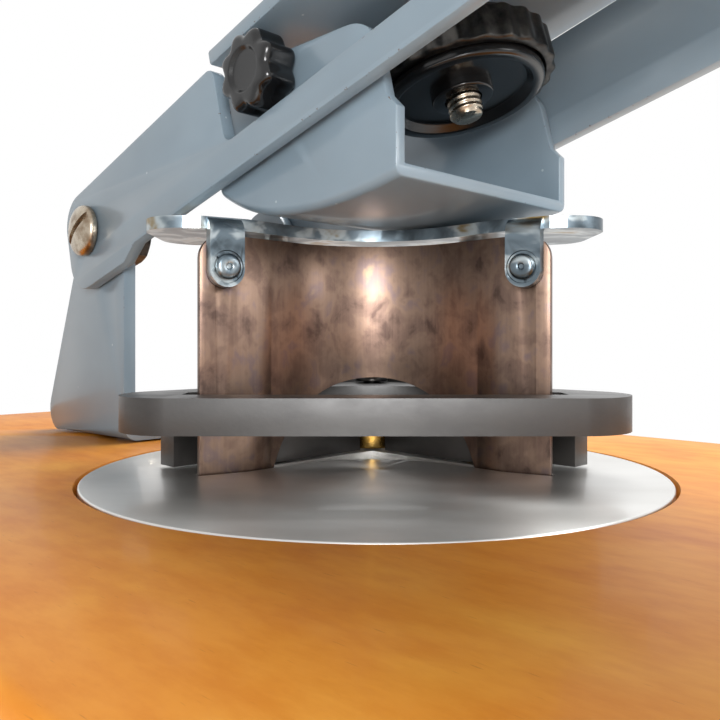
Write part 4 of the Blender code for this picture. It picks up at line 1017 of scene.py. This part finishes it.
def makeLever():
    handleY, handleZ = alongLever(lever["length"], (lever["high"] - lever["low"]) / 2)
    bore, cut = rod["shank"] + boreGap, lever["cut"]
    for side, sign in sides:
        inner = leverMiddle + sign * lever["half"]
        outer = inner + sign * lever["sheet"]
        mesh = slab(leverOutline(side == "left"), min(inner, outer), max(inner, outer), "X")
        cutters = [hole(pivot["shank"] + boreGap, -cut, cut, (0, pivotY, pivotZ), sideways)]
        cutters.append(hole(bore, -cut, cut, (0, handleY, handleZ), sideways))
        dress("lever_side_" + side, mesh, "grey_enamel", "lever", "lever_plate_" + side, edge=lever["edge"],
              cutters=cutters, wornEdge=True)
    webLow, half = lever["high"] + seatGap, lever["half"] + lever["sheet"]
    outline = box(lever["webStart"], lever["webEnd"], webLow, webLow + lever["sheet"])
    mesh = slab([alongLever(s, n) for s, n in outline], leverMiddle - half, leverMiddle + half, "X")
    wheelPlace = (leverMiddle, *alongLever(wheel["place"], 0))
    studHole = hole(wheel["stud"] + boreGap, 0, lever["webCut"], wheelPlace, leverUp)
    dress("lever_top", mesh, "grey_enamel", "lever", "lever_web", edge=lever["webEdge"],
          cutters=[studHole], wornEdge=True)
    profile = gripProfile(bore, lever["half"] - seatGap)
    mesh = lathe(profile, 96, (leverMiddle, handleY, handleZ), sideways)
    dress("handle", mesh, "black_plastic", "lever", "handle_grip", sharp=45)
    left, right = leverMiddle - half - seatGap, leverMiddle + half + seatGap
    screwPiece("handle_rod", "lever", rod, (left, handleY, handleZ), (-1, 0, 0),
               length=right - left + pivot["nutHeight"] + seatGap)
    nutPiece("handle_nut", "lever", pivot["nutFlats"], pivot["nutHeight"], bore, (right, handleY, handleZ),
             sideways, spin=5)


makeBracket()
makePivot()
makeLever()
print("bracket and lever made")


# Rocker, clamp knob and adjusting wheel

rocker = dict(half=18.1, sheet=1.5, lowest=4.0, frontRadius=72.0, backRadius=32.0, front=14.0, back=19.9,
              stepZ=43.6, step=1.5, cornerZ=54.7, corner=5.0, frontLeanShare=0.25, leanShare=0.1, bend=1.2,
              bottom=33.5, edge=0.35, floorSteps=28, cutTop=20.0, cutEnd=3.0, cutRise=1.5)
knob = dict(place=49.5, rise=2.8, radius=5.3, height=5.0, lobes=8, lobeDepth=0.8, dish=3.0, dishDepth=0.5,
            screw=1.5, seat=3.4, pitch=0.5, depth=0.2, nutFlats=5.5, nutHeight=2.4)


def rockerFloor(inset):
    points = []
    lowest, steps = rocker["lowest"], rocker["floorSteps"]
    for radius, start, end in ((rocker["frontRadius"] - inset, -rocker["front"], lowest),
                               (rocker["backRadius"] - inset, lowest, rocker["back"])):
        for step in range(1 if points else 0, steps + 1):
            y = start + (end - start) * step / steps
            points.append((y, rocker["bottom"] + inset + radius - sqrt(radius ** 2 - (y - lowest) ** 2)))
    return points


def rockerTop(y):
    level = lever["high"]
    return alongLever((pivotY - y + level * sin(leverRise)) / cos(leverRise), level)[1]


def makeRocker():
    floor, front, step = rockerFloor(0), -rocker["front"], rocker["step"]
    backY = rocker["back"] - rocker["leanShare"] * (rockerTop(rocker["back"]) - floor[-1][1])
    stepY, stepTop = front + step, rocker["stepZ"] + step
    cornerY = stepY + rocker["frontLeanShare"] * (rocker["cornerZ"] - stepTop)
    corners = [(y, z, 0) for y, z in floor] + [(backY, rockerTop(backY), 0)]
    corners += [(cornerY, rocker["cornerZ"], rocker["corner"]), (stepY, stepTop, 0)]
    corners.append((front, rocker["stepZ"], 0))
    left, right = leverMiddle - rocker["half"], leverMiddle + rocker["half"]
    mesh = slab(roundedOutline(corners, 12), left, right, "X")
    places = {(round(y, 4), round(z, 4)) for y, z in floor}
    bends = []
    for edge in mesh.edges:
        ends = [vert.co for vert in edge.verts]
        if ends[0].x == ends[1].x and all((round(end.y, 4), round(end.z, 4)) in places for end in ends):
            bends.append(edge)
    roundEdges(mesh, bends, rocker["bend"], 7)
    inner = rockerFloor(rocker["sheet"])
    (firstY, firstZ), (lastY, lastZ) = inner[0], inner[-1]
    high, end = rockerTop(front) + rocker["cutTop"], rocker["cutEnd"]
    room = [(firstY - end, firstZ + rocker["cutRise"])] + inner
    room += [(lastY + end, lastZ + end), (lastY + end, high), (firstY - end, high)]
    cutters = [slab(room, left + rocker["sheet"], right - rocker["sheet"], "X")]
    cutters.append(hole(knob["screw"] + boreGap, left - 2 * overrun, left + 4 * overrun,
                        (0, *alongLever(knob["place"], knob["rise"])), sideways))
    dress("rocker_channel", mesh, "grey_enamel", "lever", "rocker", edge=rocker["edge"], cutters=cutters,
          wornEdge=True, sharp=40)


def waved(radius, wall, count, depth):
    # Lobes or knurls round whatever lies further out than the wall
    def shape(angle, reach, height):
        if reach < radius - wall:
            return reach
        return reach - depth * (1 + cos(count * angle)) / 2
    return shape


def makeKnob():
    y, z = alongLever(knob["place"], knob["rise"])
    flange = leverMiddle - rocker["half"]
    place, way, bore = (flange - seatGap, y, z), (-1, 0, 0), knob["screw"] + boreGap
    radius, height, seat, dish = knob["radius"], knob["height"], knob["seat"], knob["dish"]
    bottom = height - knob["dishDepth"]
    corners = [(0, seat, 0), (bore, seat, 0), (bore, 0, 0), (radius, 0, 0.8), (radius, height, 1.1)]
    corners += [(dish, height, 0.3), (dish - knob["dishDepth"], bottom, 0.3), (0, bottom, 0)]
    lobed = waved(radius, 1.2, knob["lobes"], knob["lobeDepth"])
    mesh = lathe(roundedOutline(corners, 6), 96, place, way, lobed)
    dress("clamp_knob_made", mesh, "black_plastic", "knob", "clamp_knob", sharp=45)
    inner = -rocker["sheet"] - 2 * seatGap - knob["nutHeight"]
    mesh = threadedBar(knob["screw"], knob["pitch"], knob["depth"], inner, seat - seatGap, place, way)
    dress("clamp_stud", mesh, "bolt_steel", "knob", "clamp_screw", sharp=60)
    nutPiece("clamp_nut", "lever", knob["nutFlats"], knob["nutHeight"], bore,
             (flange + rocker["sheet"] + seatGap, y, z), sideways)


def makeWheel():
    place = (leverMiddle, *alongLever(wheel["place"], 0))
    low, high = -wheel["low"], wheel["height"] - wheel["low"]
    bore, radius = wheel["stud"] + boreGap, wheel["radius"]
    rimInside, recess, hub = radius - wheel["rimWall"], low + wheel["recessDepth"], bore + wheel["hubWall"]
    outer = rimInside - boreGap
    corners = [(bore, low, 0), (hub, low, 0.3), (hub, recess, 0), (wheel["recess"], recess, 0.4)]
    corners += [(wheel["recess"] + 0.8, low, 0.4), (outer, low, 0.5), (outer, high, 0.5), (bore, high, 0)]
    dress("wheel_hub", lathe(roundedOutline(corners, 5), 96, place, leverUp), "black_plastic", "wheel",
          "adjuster_wheel")
    rimLow = (low + high - wheel["rimHeight"]) / 2
    outline = box(rimInside, radius, rimLow, rimLow + wheel["rimHeight"], (0.2, 0.35, 0.35, 0.2), 4)
    knurled = waved(radius, 0.6, wheel["knurls"], wheel["knurlDepth"])
    dress("wheel_rim", lathe(outline, 240, place, leverUp, knurled), "ground_steel", "wheel",
          "adjuster_rim", sharp=45, finish=blackenedSteelAndPaintedShade)
    webHigh = lever["high"] + seatGap + lever["sheet"]
    stud = threadedBar(wheel["stud"], wheel["pitch"], wheel["depth"], -wheel["studLow"],
                       webHigh + wheel["studOver"], place, leverUp)
    dress("stud", stud, "bolt_steel", "lever", "adjuster_stud", sharp=60)
    for name, level in (("upper", webHigh + seatGap), ("lower", lever["high"] - wheel["nutHeight"])):
        nutPiece("stud_nut_" + name, "lever", wheel["nutFlats"], wheel["nutHeight"], bore,
                 Vector(place) + leverUp * level, leverUp, spin=20)


makeRocker()
makeKnob()
makeWheel()
print("rocker, knob and wheel made")


# Floor, world and lamps

studio = dict(floor=-25.3, floorSize=3000.0, fadeStart=0.15, fadeEnd=0.3, worldFill=0.2)
lamps = {
    "key": {"place": (-212, -212, 66), "aim": (0, 0, 22), "size": (90, 120), "power": 0.82},
    "right": {"place": (110, -320, 190), "aim": (0, 0, 20), "size": (170, 170), "power": 0.75},
    "above": {"place": (190, 30, 330), "aim": (0, 0, 0), "size": (240, 240), "power": 1.6},
}


def seenRays(tree):
    # 1 for rays from the camera, and for what they meet in a mirror or through glass; 0 for all others
    path = addNode(tree, "LightPath").outputs
    seen = addNode(tree, "Math", {0: path["Is Camera Ray"], 1: path["Is Glossy Ray"]}, operation="MAXIMUM")
    return addNode(tree, "Math", {0: seen.outputs[0], 1: path["Is Transmission Ray"]},
                   operation="MAXIMUM").outputs[0]


def makeFloor():
    half = studio["floorSize"] / 2
    floor = asObject("pale_floor", slab(box(-half, half, -half, half), studio["floor"] - 1, studio["floor"]))
    made, place = startMaterial("paleSweep", {
        "Roughness": 0.9, "Base Color": toLinear("#F2F1EE")})
    tree = made.node_tree
    # Paper sweep: it fades to plain white further out, so that no horizon shows
    far = addNode(tree, "VectorMath", {0: place}, operation="LENGTH").outputs["Value"]
    limits = {"From Min": studio["fadeStart"], "From Max": studio["fadeEnd"]}
    fade = addNode(tree, "MapRange", {"Value": far}, limits, interpolation_type="SMOOTHSTEP").outputs[0]
    share = addNode(tree, "Math", {0: fade, 1: seenRays(tree)}, operation="MULTIPLY").outputs[0]
    white = addNode(tree, "Emission", None, {"Color": (1, 1, 1, 1), "Strength": 1.0}).outputs[0]
    mixed = addNode(tree, "MixShader", {0: share, 1: tree.nodes["Principled BSDF"].outputs[0], 2: white})
    tree.links.new(mixed.outputs[0], tree.nodes["Material Output"].inputs["Surface"])
    floor.data.materials.append(made)


def makeWorld():
    world = bpy.data.worlds.new("whiteStudio")
    world.use_nodes = True
    bpy.context.scene.world = world
    tree = world.node_tree
    limits = {"To Min": studio["worldFill"], "To Max": 1.0}
    level = addNode(tree, "MapRange", {"Value": seenRays(tree)}, limits)
    background = tree.nodes["Background"]
    background.inputs["Color"].default_value = (1, 1, 1, 1)
    tree.links.new(level.outputs[0], background.inputs["Strength"])


def makeLamps():
    for name, facts in lamps.items():
        light = bpy.data.lights.new(name, "AREA")
        light.shape = "RECTANGLE"
        light.size, light.size_y = (length * mm for length in facts["size"])
        light.energy = facts["power"]
        lamp = newObject(name, light)
        place = Vector(facts["place"])
        lamp.location = place * mm
        lamp.visible_camera = False
        lamp.rotation_euler = (Vector(facts["aim"]) - place).to_track_quat("-Z", "Y").to_euler()


makeFloor()
makeWorld()
makeLamps()
bpy.context.scene.view_settings.view_transform = "Standard"
print("studio made")
